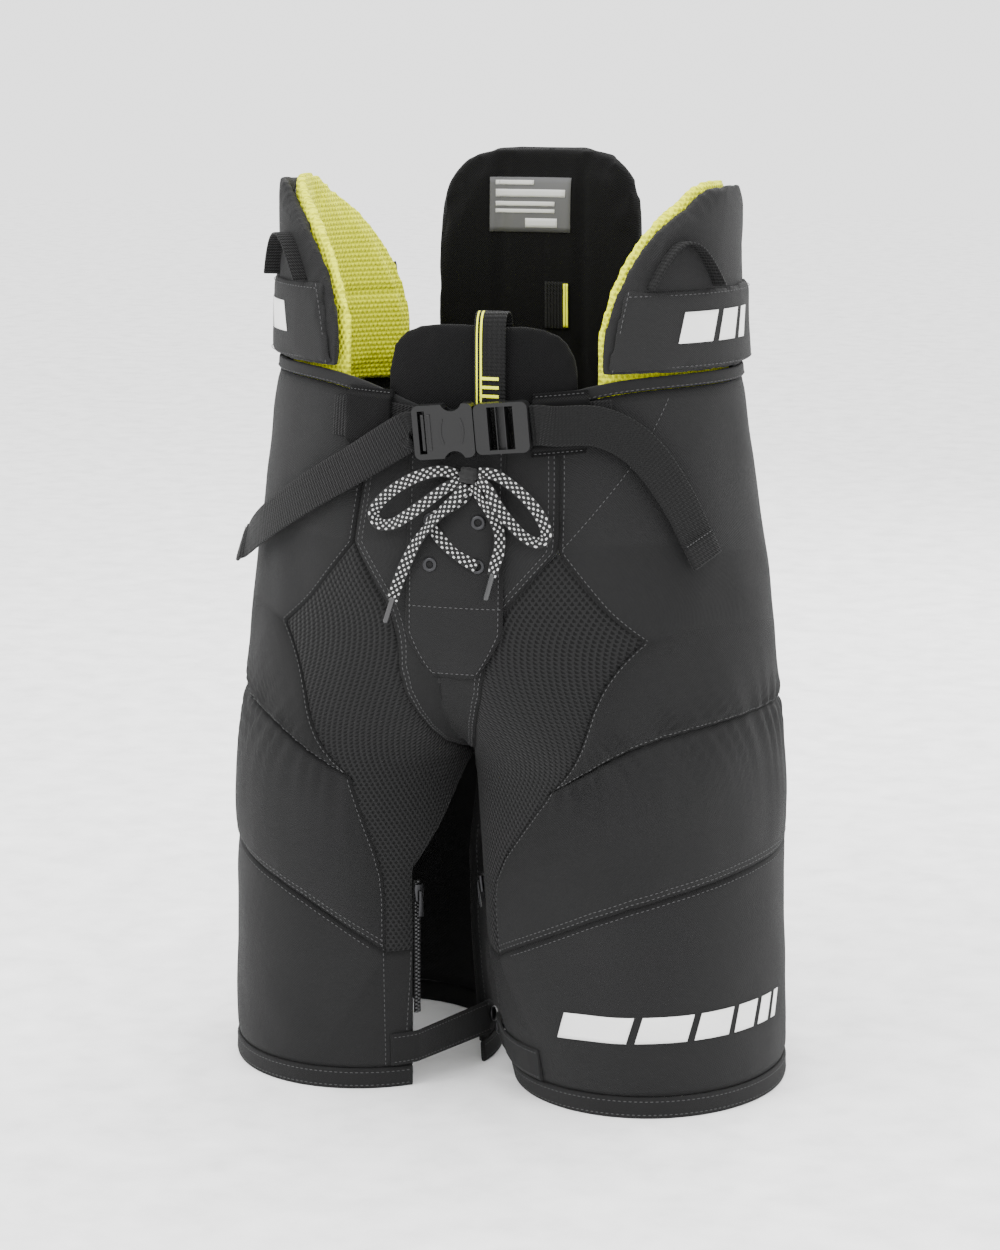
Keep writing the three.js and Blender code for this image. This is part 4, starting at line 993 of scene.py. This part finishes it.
knot = dict(x=10, z=407, size=(6.6, 5.4, 5.2), lift=5.4)
lace = dict(width=7.6, thickness=1.5, off=4.35, routes=dict(
    laceCrossing=[(15, -56, 0), (4, -50, 0), (-7, -41, 0.2), (-15, -29, 0), (-6, -23, 0.2), (5, -15, 0.3),
                  (9, -8, 0.3)],
    laceBowRight=[(4, 0, 6), (-6, 2, 8), (-20, -2, 9), (-34, -10, 8), (-45, -19, 6), (-50, -27, 5),
                  (-46, -33, 5), (-36, -32, 6), (-26, -26, 8), (-14, -17, 9), (-3, -8, 8), (5.6, -4.2, 6)],
    laceBowLeft=[(16.1, 1.6, 6), (26, 1, 8), (37, -6, 9), (47, -16, 8), (54, -27, 6), (56, -36, 5),
                 (51, -40, 5), (43, -36, 6), (34, -26, 8), (27, -16, 9), (22, -7, 8.5), (15.9, -2.5, 6.3)],
    laceTailRight=[(9, -5.8, 4.6), (3, -14, 5.2), (-5, -22, 4.8), (-14, -32, 4.4), (-22, -43, 4.2),
                   (-28, -55, 4.2), (-33, -67, 4.2), (-37, -79, 4)],
    laceTailLeft=[(12.4, -5.1, 4.2), (18, -15, 4.6), (23, -21, 5), (27, -28, 4.6), (29, -36, 4.4),
                  (29, -45, 4.4), (27, -53, 4.2), (25, -61, 4)]),
    nodes=dict(laceCrossing="lace_crossing", laceBowRight="lace_bow_right", laceBowLeft="lace_bow_left",
               laceTailRight="lace_tail_right", laceTailLeft="lace_tail_left"))


def lacePath(route, count=90):
    places = smoothLine(route, count)
    return front(places[:, 0], knot["z"] + places[:, 1], lace["off"] + places[:, 2])


def makeLaces():
    for order, (name, route) in enumerate(lace["routes"].items()):
        path = lacePath(route)
        normals = frontNormals(path)
        across = unit(np.cross(unit(np.gradient(path, axis=0)), normals))
        turn = (0.55 * np.sin(np.linspace(0, 2.2 * np.pi, len(path)) + order * 1.7))[:, None]
        face = unit(normals * np.cos(turn) + across * np.sin(turn))
        piece = strapPiece(name, path, face, lace["width"], lace["thickness"], "lace",
                           replaced=[lace["nodes"][name]], centred=True, power=3.0, corners=14)
        if "Tail" in name:
            end, before = path[-1], path[-4]
            ahead = (end - before) / np.linalg.norm(end - before)
            tube = np.array([end - ahead * 2 + ahead * 17 * t for t in np.linspace(0, 1, 16)])
            tip = strapPiece(name.replace("lace", "aglet"), tube, np.repeat(normals[-1][None], 16, 0), 3.4,
                             3.2, "aglet", centred=True, power=2.0, corners=14)
        tuple(path[0] * mm)
        [tuple(p) for p in path * mm]
    bm = bmesh.new()
    bmesh.ops.create_uvsphere(bm, u_segments=40, v_segments=24, radius=1)
    for vert in bm.verts:
        p = vert.co.copy()
        ridge = 1 + 0.1 * math.cos(9 * p.z + 2.2 * p.x) + 0.04 * math.cos(11 * p.x)
        vert.co = Vector([c * half * ridge for c, half in zip(p, knot["size"])]) * mm
    centre = front(knot["x"], knot["z"], lace["off"] + knot["lift"])
    finishPiece("laceKnot", placed(bm, Matrix.Translation(Vector(centre) * mm)), "lace",
                replaced=["lace_knot"])


makeLaces()
print("laces made")


# snap tabs and zips at the slits

tab = dict(height=22, thickness=1.8, base=16, start=-27, lift=3.4)
zipPart = dict(inset=2.527, half=87.75, width=5, foot=50, slider=11, pitch=2.5)


def makeTab(side, name, sign):
    rear, edge = cut["slitRear"][name] - 360, cut["slitFront"][name]
    middle = tab["base"] + tab["height"] / 2
    onEdge = np.linspace(tab["start"], edge - 1, math.ceil((tab["start"] - edge) / 6) + 1)
    angles = np.array([*onEdge, rear - 1, rear - 5, rear - 9])
    lifts = np.where(angles >= edge - 1, 1.3, tab["lift"])
    points = skin(sign, angles, middle + 0.07 * (tab["start"] - angles), lifts)
    faces = normalAt(sign, angles, np.full(len(angles), float(middle)))
    line = resample(np.hstack([points, faces]), 70)
    rounded = lambda t: np.sqrt(np.clip(1 - (np.clip(t - 0.88, 0, 1) / 0.125) ** 2, 0.12, 1))
    body = "snap_tab_" + name
    strapPiece("snapTab" + side, line[:, :3], unit(line[:, 3:]), tab["height"], tab["thickness"], "tabCloth",
               body, [body], widthAt=rounded)
    across = unit(np.cross(unit(np.gradient(line[:, :3], axis=0)), unit(line[:, 3:])))
    outer = line[:, :3] + unit(line[:, 3:]) * (tab["thickness"] + 0.1)
    rows = [(outer[1:62] + across[1:62] * s * 8.6, unit(line[1:62, 3:])) for s in (-1, 1)]
    stitchPiece("tabStitches" + side, rows, body, 2.8, 2.0, 0.55, slot="tab_cloth")
    capAngle = rear - 5
    capZ = middle + 0.07 * (tab["start"] - capAngle)
    n = normalAt(sign, capAngle, np.array(float(capZ)))
    at = skin(sign, capAngle, np.array(float(capZ)), tab["lift"] + tab["thickness"] + 0.3)
    dome = [(0, 2.5), (2.4, 2.3), (3.1, 1.9), (3.4, 1.7), (4.2, 1.7), (4.9, 1.1), (5.1, 0.4), (4.9, 0.0),
            (0, 0.0)]
    finishPiece("snapCap" + side, placed(turned(dome, 36), facing(at, n)), "snap", body, ["snap_cap_" + name])
    under = skin(sign, capAngle, np.array(float(capZ)), 0.35)
    stud = [(0, 2.3), (1.6, 2.2), (1.9, 1.6), (1.6, 0.9), (3.6, 0.7), (4.0, 0.0), (0, 0.0)]
    finishPiece("snapStud" + side, placed(turned(stud, 28), facing(under, n)), "snap", "shell",
                ["snap_stud_" + name])


def makeZip(side, name, sign):
    angle = cut["slitFront"][name] - math.degrees(zipPart["inset"] / zipPart["half"])
    low, high = zipPart["foot"], cut["slitTop"] - 8
    n = normalAt(sign, angle, np.array((low + cut["slitTop"]) / 2))
    ends = skin(sign, np.array([angle, angle]), np.array([low, high], float), -0.6)
    line = resample(ends, 40)
    up = unit(ends[1] - ends[0])
    across = np.cross(up, n)
    strapPiece("zipTape" + side, line, np.repeat(n[None], 40, 0), zipPart["width"], 0.7, "webbing")
    bm = bmesh.new()
    length = np.linalg.norm(ends[1] - ends[0])
    for k in range(int(length / zipPart["pitch"])):
        for row in (-1, 1):
            at = ends[0] + up * (k + 0.5 + row * 0.25) * zipPart["pitch"] + across * row * 0.85 + n * 1.1
            size = Matrix((across * 2.2 * mm, n * 1.1 * mm, up * 1.25 * mm)).transposed().to_4x4()
            bmesh.ops.create_cone(bm, cap_ends=True, segments=6, radius1=0.62, radius2=0.5, depth=1,
                                  matrix=Matrix.Translation(Vector(at) * mm) @ size)
    finishPiece("zipTeeth" + side, bm, "zipTeeth", replaced=["zip_chain_" + name])
    body = "zip_slider_" + name
    foot = ends[1] - up * (zipPart["slider"] + 2) + n * 1.75
    line = np.array([foot + up * zipPart["slider"] * t for t in np.linspace(0, 1, 24)])
    shield = lambda t: 0.74 + 0.26 * np.clip(t * 1.6, 0, 1) - 0.12 * np.clip(t - 0.85, 0, 1) / 0.15
    strapPiece("zipSlider" + side, line, np.repeat(n[None], 24, 0), zipPart["width"] + 1.8, 2.5, "snap", body,
               [body], widthAt=shield, power=4.0)
    shares = np.linspace(0, 1, 24)
    pull = np.array([foot + n * (3.0 + 0.5 * math.sin(3 * t)) + up * (7 - 17 * t) for t in shares])
    strapPiece("zipPull" + side, pull, np.repeat(n[None], 24, 0), 3.4, 1.0, "snap", body, power=4.0,
               widthAt=lambda t: 0.7 + 0.5 * np.clip(t, 0, 1))


for item in sides:
    makeTab(*item)
    makeZip(*item)
print("tabs and zips made")


# padded pieces: slabs over a surface, swollen by a short cloth simulation

def slabMesh(surface, thickness, columns, rows):
    bm = gridMesh(surface, columns, rows, keepOutward=True)
    extruded = bmesh.ops.extrude_face_region(bm, geom=list(bm.faces))["geom"]
    outward = bm.verts.layers.float_vector["outward"]
    for vert in [g for g in extruded if isinstance(g, bmesh.types.BMVert)]:
        vert.co -= vert[outward] * thickness * mm
    bm.verts.layers.float_vector.remove(outward)
    bmesh.ops.recalc_face_normals(bm, faces=bm.faces)
    return bm


def swell(piece, voxel, pressure, cap):
    scene = bpy.context.scene
    remesh = piece.modifiers.new("remesh", "REMESH")
    remesh.mode = "VOXEL"
    remesh.voxel_size = voxel * mm
    takeShape(piece)
    cloth = piece.modifiers.new("cloth", "CLOTH")
    cloth.settings.use_pressure = True
    cloth.settings.uniform_pressure_force = pressure
    cloth.settings.effector_weights.gravity = 0
    cloth.point_cache.frame_start, cloth.point_cache.frame_end = 1, 20
    before = np.array([v.co for v in piece.data.vertices])
    for step in range(1, 21):
        scene.frame_set(step)
    made = piece.evaluated_get(bpy.context.evaluated_depsgraph_get())
    after = np.array([v.co for v in made.data.vertices])
    piece.modifiers.remove(cloth)
    scene.frame_set(1)
    move = after - before
    far = np.linalg.norm(move, axis=1, keepdims=True)
    move *= np.minimum(1, cap * mm / np.maximum(far, 1e-9))
    piece.data.vertices.foreach_set("co", (before + move).astype(np.float32).ravel())
    piece.data.update()


def takeShape(piece):
    made = bpy.data.meshes.new_from_object(piece.evaluated_get(bpy.context.evaluated_depsgraph_get()))
    piece.modifiers.clear()
    old = piece.data
    piece.data = made
    bpy.data.meshes.remove(old)
    made.polygons.foreach_set("use_smooth", [True] * len(made.polygons))


# Where the cloth's weave runs on a padded piece: round the body and up it.
def weaveOn(piece):
    co = np.array([v.co for v in piece.data.vertices])
    attributes = piece.data.attributes
    attribute = attributes.get("weave") or attributes.new("weave", "FLOAT_VECTOR", "POINT")
    across = np.arctan2(co[:, 0] * 0.75, -co[:, 1]) * 0.125
    places = np.stack([across, co[:, 2], unsewn(co) * mm], -1)
    attribute.data.foreach_set("vector", places.astype(np.float32).ravel())


# A slab over a surface: puff is the voxel size, pressure and greatest movement of its swelling, or None for a
# piece that stays flat.
def padPiece(name, surface, thickness, look, body, node, grid, puff=None, shape=None, blend=None):
    piece = finishPiece(name, slabMesh(surface, thickness, *grid), look, None, [node])
    if puff:
        swell(piece, *puff)
    if shape:
        co = np.array([v.co for v in piece.data.vertices]) / mm
        piece.data.vertices.foreach_set("co", (shape(co) * mm).astype(np.float32).ravel())
    weaveOn(piece)
    if blend:
        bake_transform(piece, "shell", body, *blend)
    else:
        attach(piece, body)
    smooth = piece.modifiers.new("smooth", "SUBSURF")
    smooth.levels = smooth.render_levels = 1
    return piece


wing = dict(base=467.1, tall=114.9, front=44, rear=130, around=190, padOut=0.2, pad=5.9, liner=5.5,
            linerOut=-9.6, insert=2.2, insertOut=-6.9,
            tongue=24, band=52, bandOut=5.1, bandThick=4.2, quilt=34, loop=(57, 76, 27, 12),
            flex=(0.466, 0.502))


# Where the wing's cloth starts and ends its bend, above the waistband.
def wingBend(sign):
    return [(sign * 0.1568, 0, height) for height in wing["flex"]]


def wingPlace(u, v, inset, foot):
    lean = np.clip(v, 0, 1) ** 2.2
    a0 = wing["front"] + inset * 0.4 + 26 * lean
    a1 = wing["rear"] - inset * 0.4 - 30 * lean
    z = np.where(v < 0.12, foot + (wing["base"] + 0.12 * wing["tall"] - foot) * v / 0.12,
                 wing["base"] + (wing["tall"] - inset) * v)
    corner = np.abs(2 * u - 1) ** 3
    late = np.clip((v - 0.55) / 0.45, 0, 1) ** 2
    return a0 + (a1 - a0) * u, z - 11 * corner * late


def makeWing(side, name, sign):
    body, bend, around = "hip_wing_" + name, wingBend(sign), wing["around"]

    def layerAt(out, inset, foot, swells):
        def surface(u, v):
            angle, z = wingPlace(u, v, inset, foot)
            edge = np.minimum.reduce([u * around, (1 - u) * around, (1 - v) * wing["tall"], v * 60 + 6])
            base, n = bare(sign, angle, z), normalAt(sign, angle, z)
            lift = out + swells * (1 - np.exp(-edge / 9)) + 0.8 * drift(base, 40, 12 + sign)
            return base + n * lift[:, None], n, np.stack([u * around, z, edge], -1)
        return surface

    padPiece("hipPad" + side, layerAt(wing["padOut"], 0, wing["base"], 0), wing["pad"], "wingCloth", body,
             "hip_pad_" + name, (64, 34), (3.0, 5.0, 3.0), blend=bend)
    padPiece("hipInsert" + side, layerAt(wing["insertOut"], 8, wing["base"] + 3, 0), wing["insert"], "guard",
             body, "hip_insert_" + name, (40, 24), blend=bend)

    def quilt(co):
        seamZ = wing["base"] + wing["quilt"]
        near = np.exp(-((co[:, 2] - seamZ) / 2.4) ** 2)
        angles = np.linspace(20, 160, 281)
        ring = bare(sign, angles, np.full(281, seamZ))
        normals = normalAt(sign, angles, np.full(281, seamZ))
        middle = ring + normals * (wing["linerOut"] - 2.5)
        closest = np.argmin(((co[:, None, :2] - middle[None, :, :2]) ** 2).sum(-1), 1)
        offset = ((co - middle[closest])[:, :2] * normals[closest][:, :2]).sum(-1)
        return co - normals[closest] * (0.45 * near * offset)[:, None]

    padPiece("hipLiner" + side, layerAt(wing["linerOut"], -1.5, wing["base"] - wing["tongue"], 0.6),
             wing["liner"],
             "yellowMesh", body, "hip_liner_" + name, (72, 46), (2.8, 4.0, 2.4), shape=quilt, blend=bend)

    def bandSurface(u, v):
        angle = wing["front"] + 1 + 4.8 * v + (wing["rear"] - 2 - wing["front"] - 1 - 4.8 * v) * u
        z = wing["base"] + 1 + v * (wing["band"] - 1)
        edge = np.minimum.reduce([u * around, (1 - u) * around, (1 - v) * 50, v * 50])
        base, n = bare(sign, angle, z), normalAt(sign, angle, z)
        out = wing["bandOut"] + 0.6 * drift(base, 30, 17 + sign)
        return base + n * out[:, None], n, np.stack([u * around, z, edge], -1)

    padPiece("hipBand" + side, bandSurface, wing["bandThick"], "wingCloth", body, "hip_band_" + name,
             (72, 22), (3.0, 5.0, 2.2), blend=bend)
    t = np.linspace(0.02, 0.98, 300)
    lines = []
    for u, v in ((t, np.full(300, 0.07)), (t, np.full(300, 0.93)), (np.full(300, 0.02), t),
                 (np.full(300, 0.985), t)):
        points, normals, _ = bandSurface(u, v)
        lines.append((points + normals * 0.9, normals))
    stitches = stitchPiece("bandStitches" + side, lines, None, slot="wing_cloth")
    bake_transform(stitches, "shell", body, *bend)

    first, last, rise, width = wing["loop"]
    foot = wing["base"] + wing["band"] + 0.35
    turn = np.linspace(0, 1, 60)
    angles, heights = first + (last - first) * turn, foot + rise * np.sin(np.pi * turn)
    points = skin(sign, angles, heights, 1.05 + width / 2)
    faces = unit(np.cross(np.gradient(points, axis=0), normalAt(sign, angles, heights)) * -sign)
    strapPiece("hipLoop" + side, points, faces, width, 1.6, "webbing", body, ["hip_loop_" + name])


for item in sides:
    makeWing(*item)
print("wings made")


backPad = dict(x=-4, half=74, low=400, high=597, thick=12.4, out=-3.2, channels=(-32, 24))
bellyPad = dict(x=12, half=62, low=392, high=499, thick=10.4, out=-3.2)
pull = dict(x=20, width=20, foot=447, thick=1.6)


def padWidth(v, roundness=4.0):
    end = np.abs(2 * v - 1) ** roundness
    return (1 - 0.96 * end) ** (1 / roundness)


def padSurface(place, part, backwards):
    def surface(u, v):
        z = part["low"] + (part["high"] - part["low"]) * v
        x = part["x"] + part["half"] * padWidth(v) * (2 * u - 1)
        base = place(x, z)
        sign, angle = angleAtX(x, z)
        n = normalAt(sign, 180 - angle if backwards else angle, z)
        return base + n * part["out"], n, np.stack([x, z, unsewn(u)], -1)
    return surface


def backMiddle(co, out):
    points = backward(co[:, 0], co[:, 2])
    sign, angle = angleAtX(co[:, 0], co[:, 2])
    return points + normalAt(sign, 180 - angle, co[:, 2]) * out


def makeBackPad():
    def channels(co):
        inside = np.clip((co[:, 2] - 406) / 10, 0, 1) * np.clip((590 - co[:, 2]) / 10, 0, 1)
        middle = backMiddle(co, backPad["out"] - backPad["thick"] / 2)
        near = sum(np.exp(-((co[:, 0] - x) / 3.2) ** 2) for x in backPad["channels"]) * inside
        return co + (middle - co) * (0.42 * near)[:, None] * np.array([1, 1, 0])

    bend = ((backPad["x"] * mm, 0.1, 0.452), (backPad["x"] * mm, 0.1, 0.476))
    pad = padPiece("backPad", padSurface(backward, backPad, True), backPad["thick"], "liningCloth",
                   "back_pad", "back_pad", (46, 56), (4.0, 4.0, 3.2), shape=channels, blend=bend)
    inner = backPad["out"] - backPad["thick"]

    def patch(x, half, low, high, lift):
        def surface(u, v):
            px, z = x + half * (2 * u - 1), low + (high - low) * v
            sign, angle = angleAtX(px, z)
            n = normalAt(sign, 180 - angle, z)
            return backward(px, z) + n * (inner - lift), -n, np.stack([px, z, unsewn(u)], -1)
        return hugging(pad, surface, lift)

    label = finishPiece("sizeLabel", gridMesh(patch(-12, 30, 540, 576, 0.8), 16, 10), "printGrey", "back_pad",
                        ["size_label"], "label_cloth")
    thicken(label, 0.5)
    blocks = ((-24, 14, 571, 574), (-12, 26, 563, 568), (-16, 22, 557, 560), (-16, 22, 552.5, 555),
              (-4, 12, 543, 549))
    for k, (x, half, low, high) in enumerate(blocks):
        block = gridMesh(patch(x, half, low, high, 1.2), 10, 3)
        thicken(finishPiece("labelBlock%d" % (k + 1), block, "labelCloth", "back_pad"), 0.25)
    tag = finishPiece("backTag", gridMesh(patch(8, 9, 478, 508, 1.7), 8, 14), "webbing", "back_pad",
                      ["back_tag"])
    thicken(tag, 1.3)
    for k, x in enumerate((14.2, 16.2)):
        stripe = gridMesh(patch(x, 0.8, 479, 507, 2.1), 3, 14)
        thicken(finishPiece("tagStripe%d" % (k + 1), stripe, "yellowPrint", "back_pad"), 0.3)


def makeBellyPad():
    bend = ((bellyPad["x"] * mm, -0.1, 0.45), (bellyPad["x"] * mm, -0.1, 0.476))
    padPiece("bellyPad", padSurface(front, bellyPad, False), bellyPad["thick"], "liningCloth", "belly_pad",
             "belly_pad", (40, 34), (4.0, 4.0, 2.6), blend=bend)
    out, thick = bellyPad["out"], bellyPad["thick"]
    over = [(pull["foot"], out + 2.6), (475, out + 4.4), (493, out + 4.4), (502.5, out + 1.4),
            (504.6, out - thick / 2),
            (501.5, out - thick - 3.2), (490, out - thick - 5.2), (468, out - thick - 5.2)]
    line = smoothLine([front(pull["x"], z, o) for z, o in over], 80)
    faces = unit(np.cross((1, 0, 0), np.gradient(line, axis=0)))
    piece = strapPiece("bellyPullLoop", line, faces, pull["width"], pull["thick"], "webbing", None,
                       ["belly_pull_loop"])
    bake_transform(piece, "shell", "belly_pad", *bend)
    across = unit(np.cross(unit(np.gradient(line, axis=0)), faces))
    seen = slice(2, 46)
    for k, (shift, width) in enumerate(((5.4, 1.3), (8.0, 1.0))):
        course = line[seen] - across[seen] * shift + faces[seen] * 1.5
        stripe = strapPiece("pullStripe%d" % (k + 1), course, faces[seen], width, 0.4, "yellowPrint", None)
        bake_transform(stripe, "shell", "belly_pad", *bend)
    for k in range(3):
        at = 6 + 4 * k
        ends = [line[at] + across[at] * reach + faces[at] * 1.65 for reach in (6, -6)]
        chevron = strapPiece("pullBar%d" % (k + 1), resample(np.array(ends), 12),
                             np.repeat(faces[at][None], 12, 0), 2.0, 0.4, "yellowPrint", None)
        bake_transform(chevron, "shell", "belly_pad", *bend)


makeBackPad()
makeBellyPad()
print("pads made")


# protection inside the legs and behind the tailbone

guard = dict(foot=66, top=232, front=-6, rear=98, around=180, out=-4.1, thick=2.0, foamOut=-7.05, foamThick=7)
tailbone = dict(x=0, half=46, low=298, high=388, out=-3.2, thick=9)


def makeGuards():
    for side, name, sign in sides:
        def layerAt(out):
            def surface(u, v):
                angle = guard["front"] + (guard["rear"] - guard["front"]) * u
                tall = guard["top"] - guard["foot"]
                z = guard["foot"] + tall * v
                base, n = bare(sign, angle, z), normalAt(sign, angle, z)
                across = u * guard["around"]
                edge = np.minimum.reduce([across, guard["around"] - across, v * tall, (1 - v) * tall])
                return base + n * out, n, np.stack([across, z, edge], -1)
            return surface
        padPiece("thighGuard" + side, layerAt(guard["out"]), guard["thick"], "guard", "shell",
                 "thigh_guard_" + name, (48, 30))
        padPiece("thighFoam" + side, layerAt(guard["foamOut"]), guard["foamThick"], "foam", "shell",
                 "thigh_foam_" + name, (48, 30))
    padPiece("tailbonePad", padSurface(backward, tailbone, True), tailbone["thick"], "foam", "shell",
             "tailbone_pad", (24, 22))


makeGuards()
print("guards made")


# plain slanted bars where the real ones are lettered

mark = dict(thick=0.35, lift=0.5)


def slantedBar(name, target, sign, angles, heights, slant, look, body, bend=None):
    def surface(u, v):
        z = heights[0] + (heights[1] - heights[0]) * v
        angle = angles[0] + (angles[1] - angles[0]) * u + slant * v
        return bare(sign, angle, z), normalAt(sign, angle, z), np.stack([u * 10, v * 10, unsewn(u)], -1)
    piece = finishPiece(name, gridMesh(hugging(target, surface, mark["lift"]), 24, 6), look, None,
                        slot="label_cloth")
    if bend:
        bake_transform(piece, "shell", body, *bend)
    else:
        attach(piece, body)
    thicken(piece, mark["thick"])


def makeMarks():
    for k, (start, end) in enumerate(((-17, 8), (11, 30), (33, 48), (51, 62), (65, 72), (75, 78.5))):
        slantedBar("legBar%d" % (k + 1), panels["left"]["lower"].piece, 1, (start, end), (50, 67), 3.5,
                   "print", "shell")
    for side, name, sign in sides:
        bend = wingBend(sign)
        for k, (start, end) in enumerate(((64, 74), (76, 82), (84, 87))):
            slantedBar("bandBar%s%d" % (side, k + 1), bpy.data.objects["hipBand" + side], sign, (start, end),
                       (486, 505), 2.0, "print", "hip_wing_" + name, bend)


makeMarks()
print("marks made")


def stageFloor():
    bm = bmesh.new()
    bmesh.ops.create_grid(bm, x_segments=1, y_segments=1, size=studio["floorSize"])
    mesh = bpy.data.meshes.new("floor")
    bm.to_mesh(mesh)
    bm.free()
    mesh.materials.append(looks["floor"])
    floor = bpy.data.objects.new("floor", mesh)
    bpy.context.scene.collection.objects.link(floor)


stageFloor()
bpy.context.view_layer.update()
print("all made")
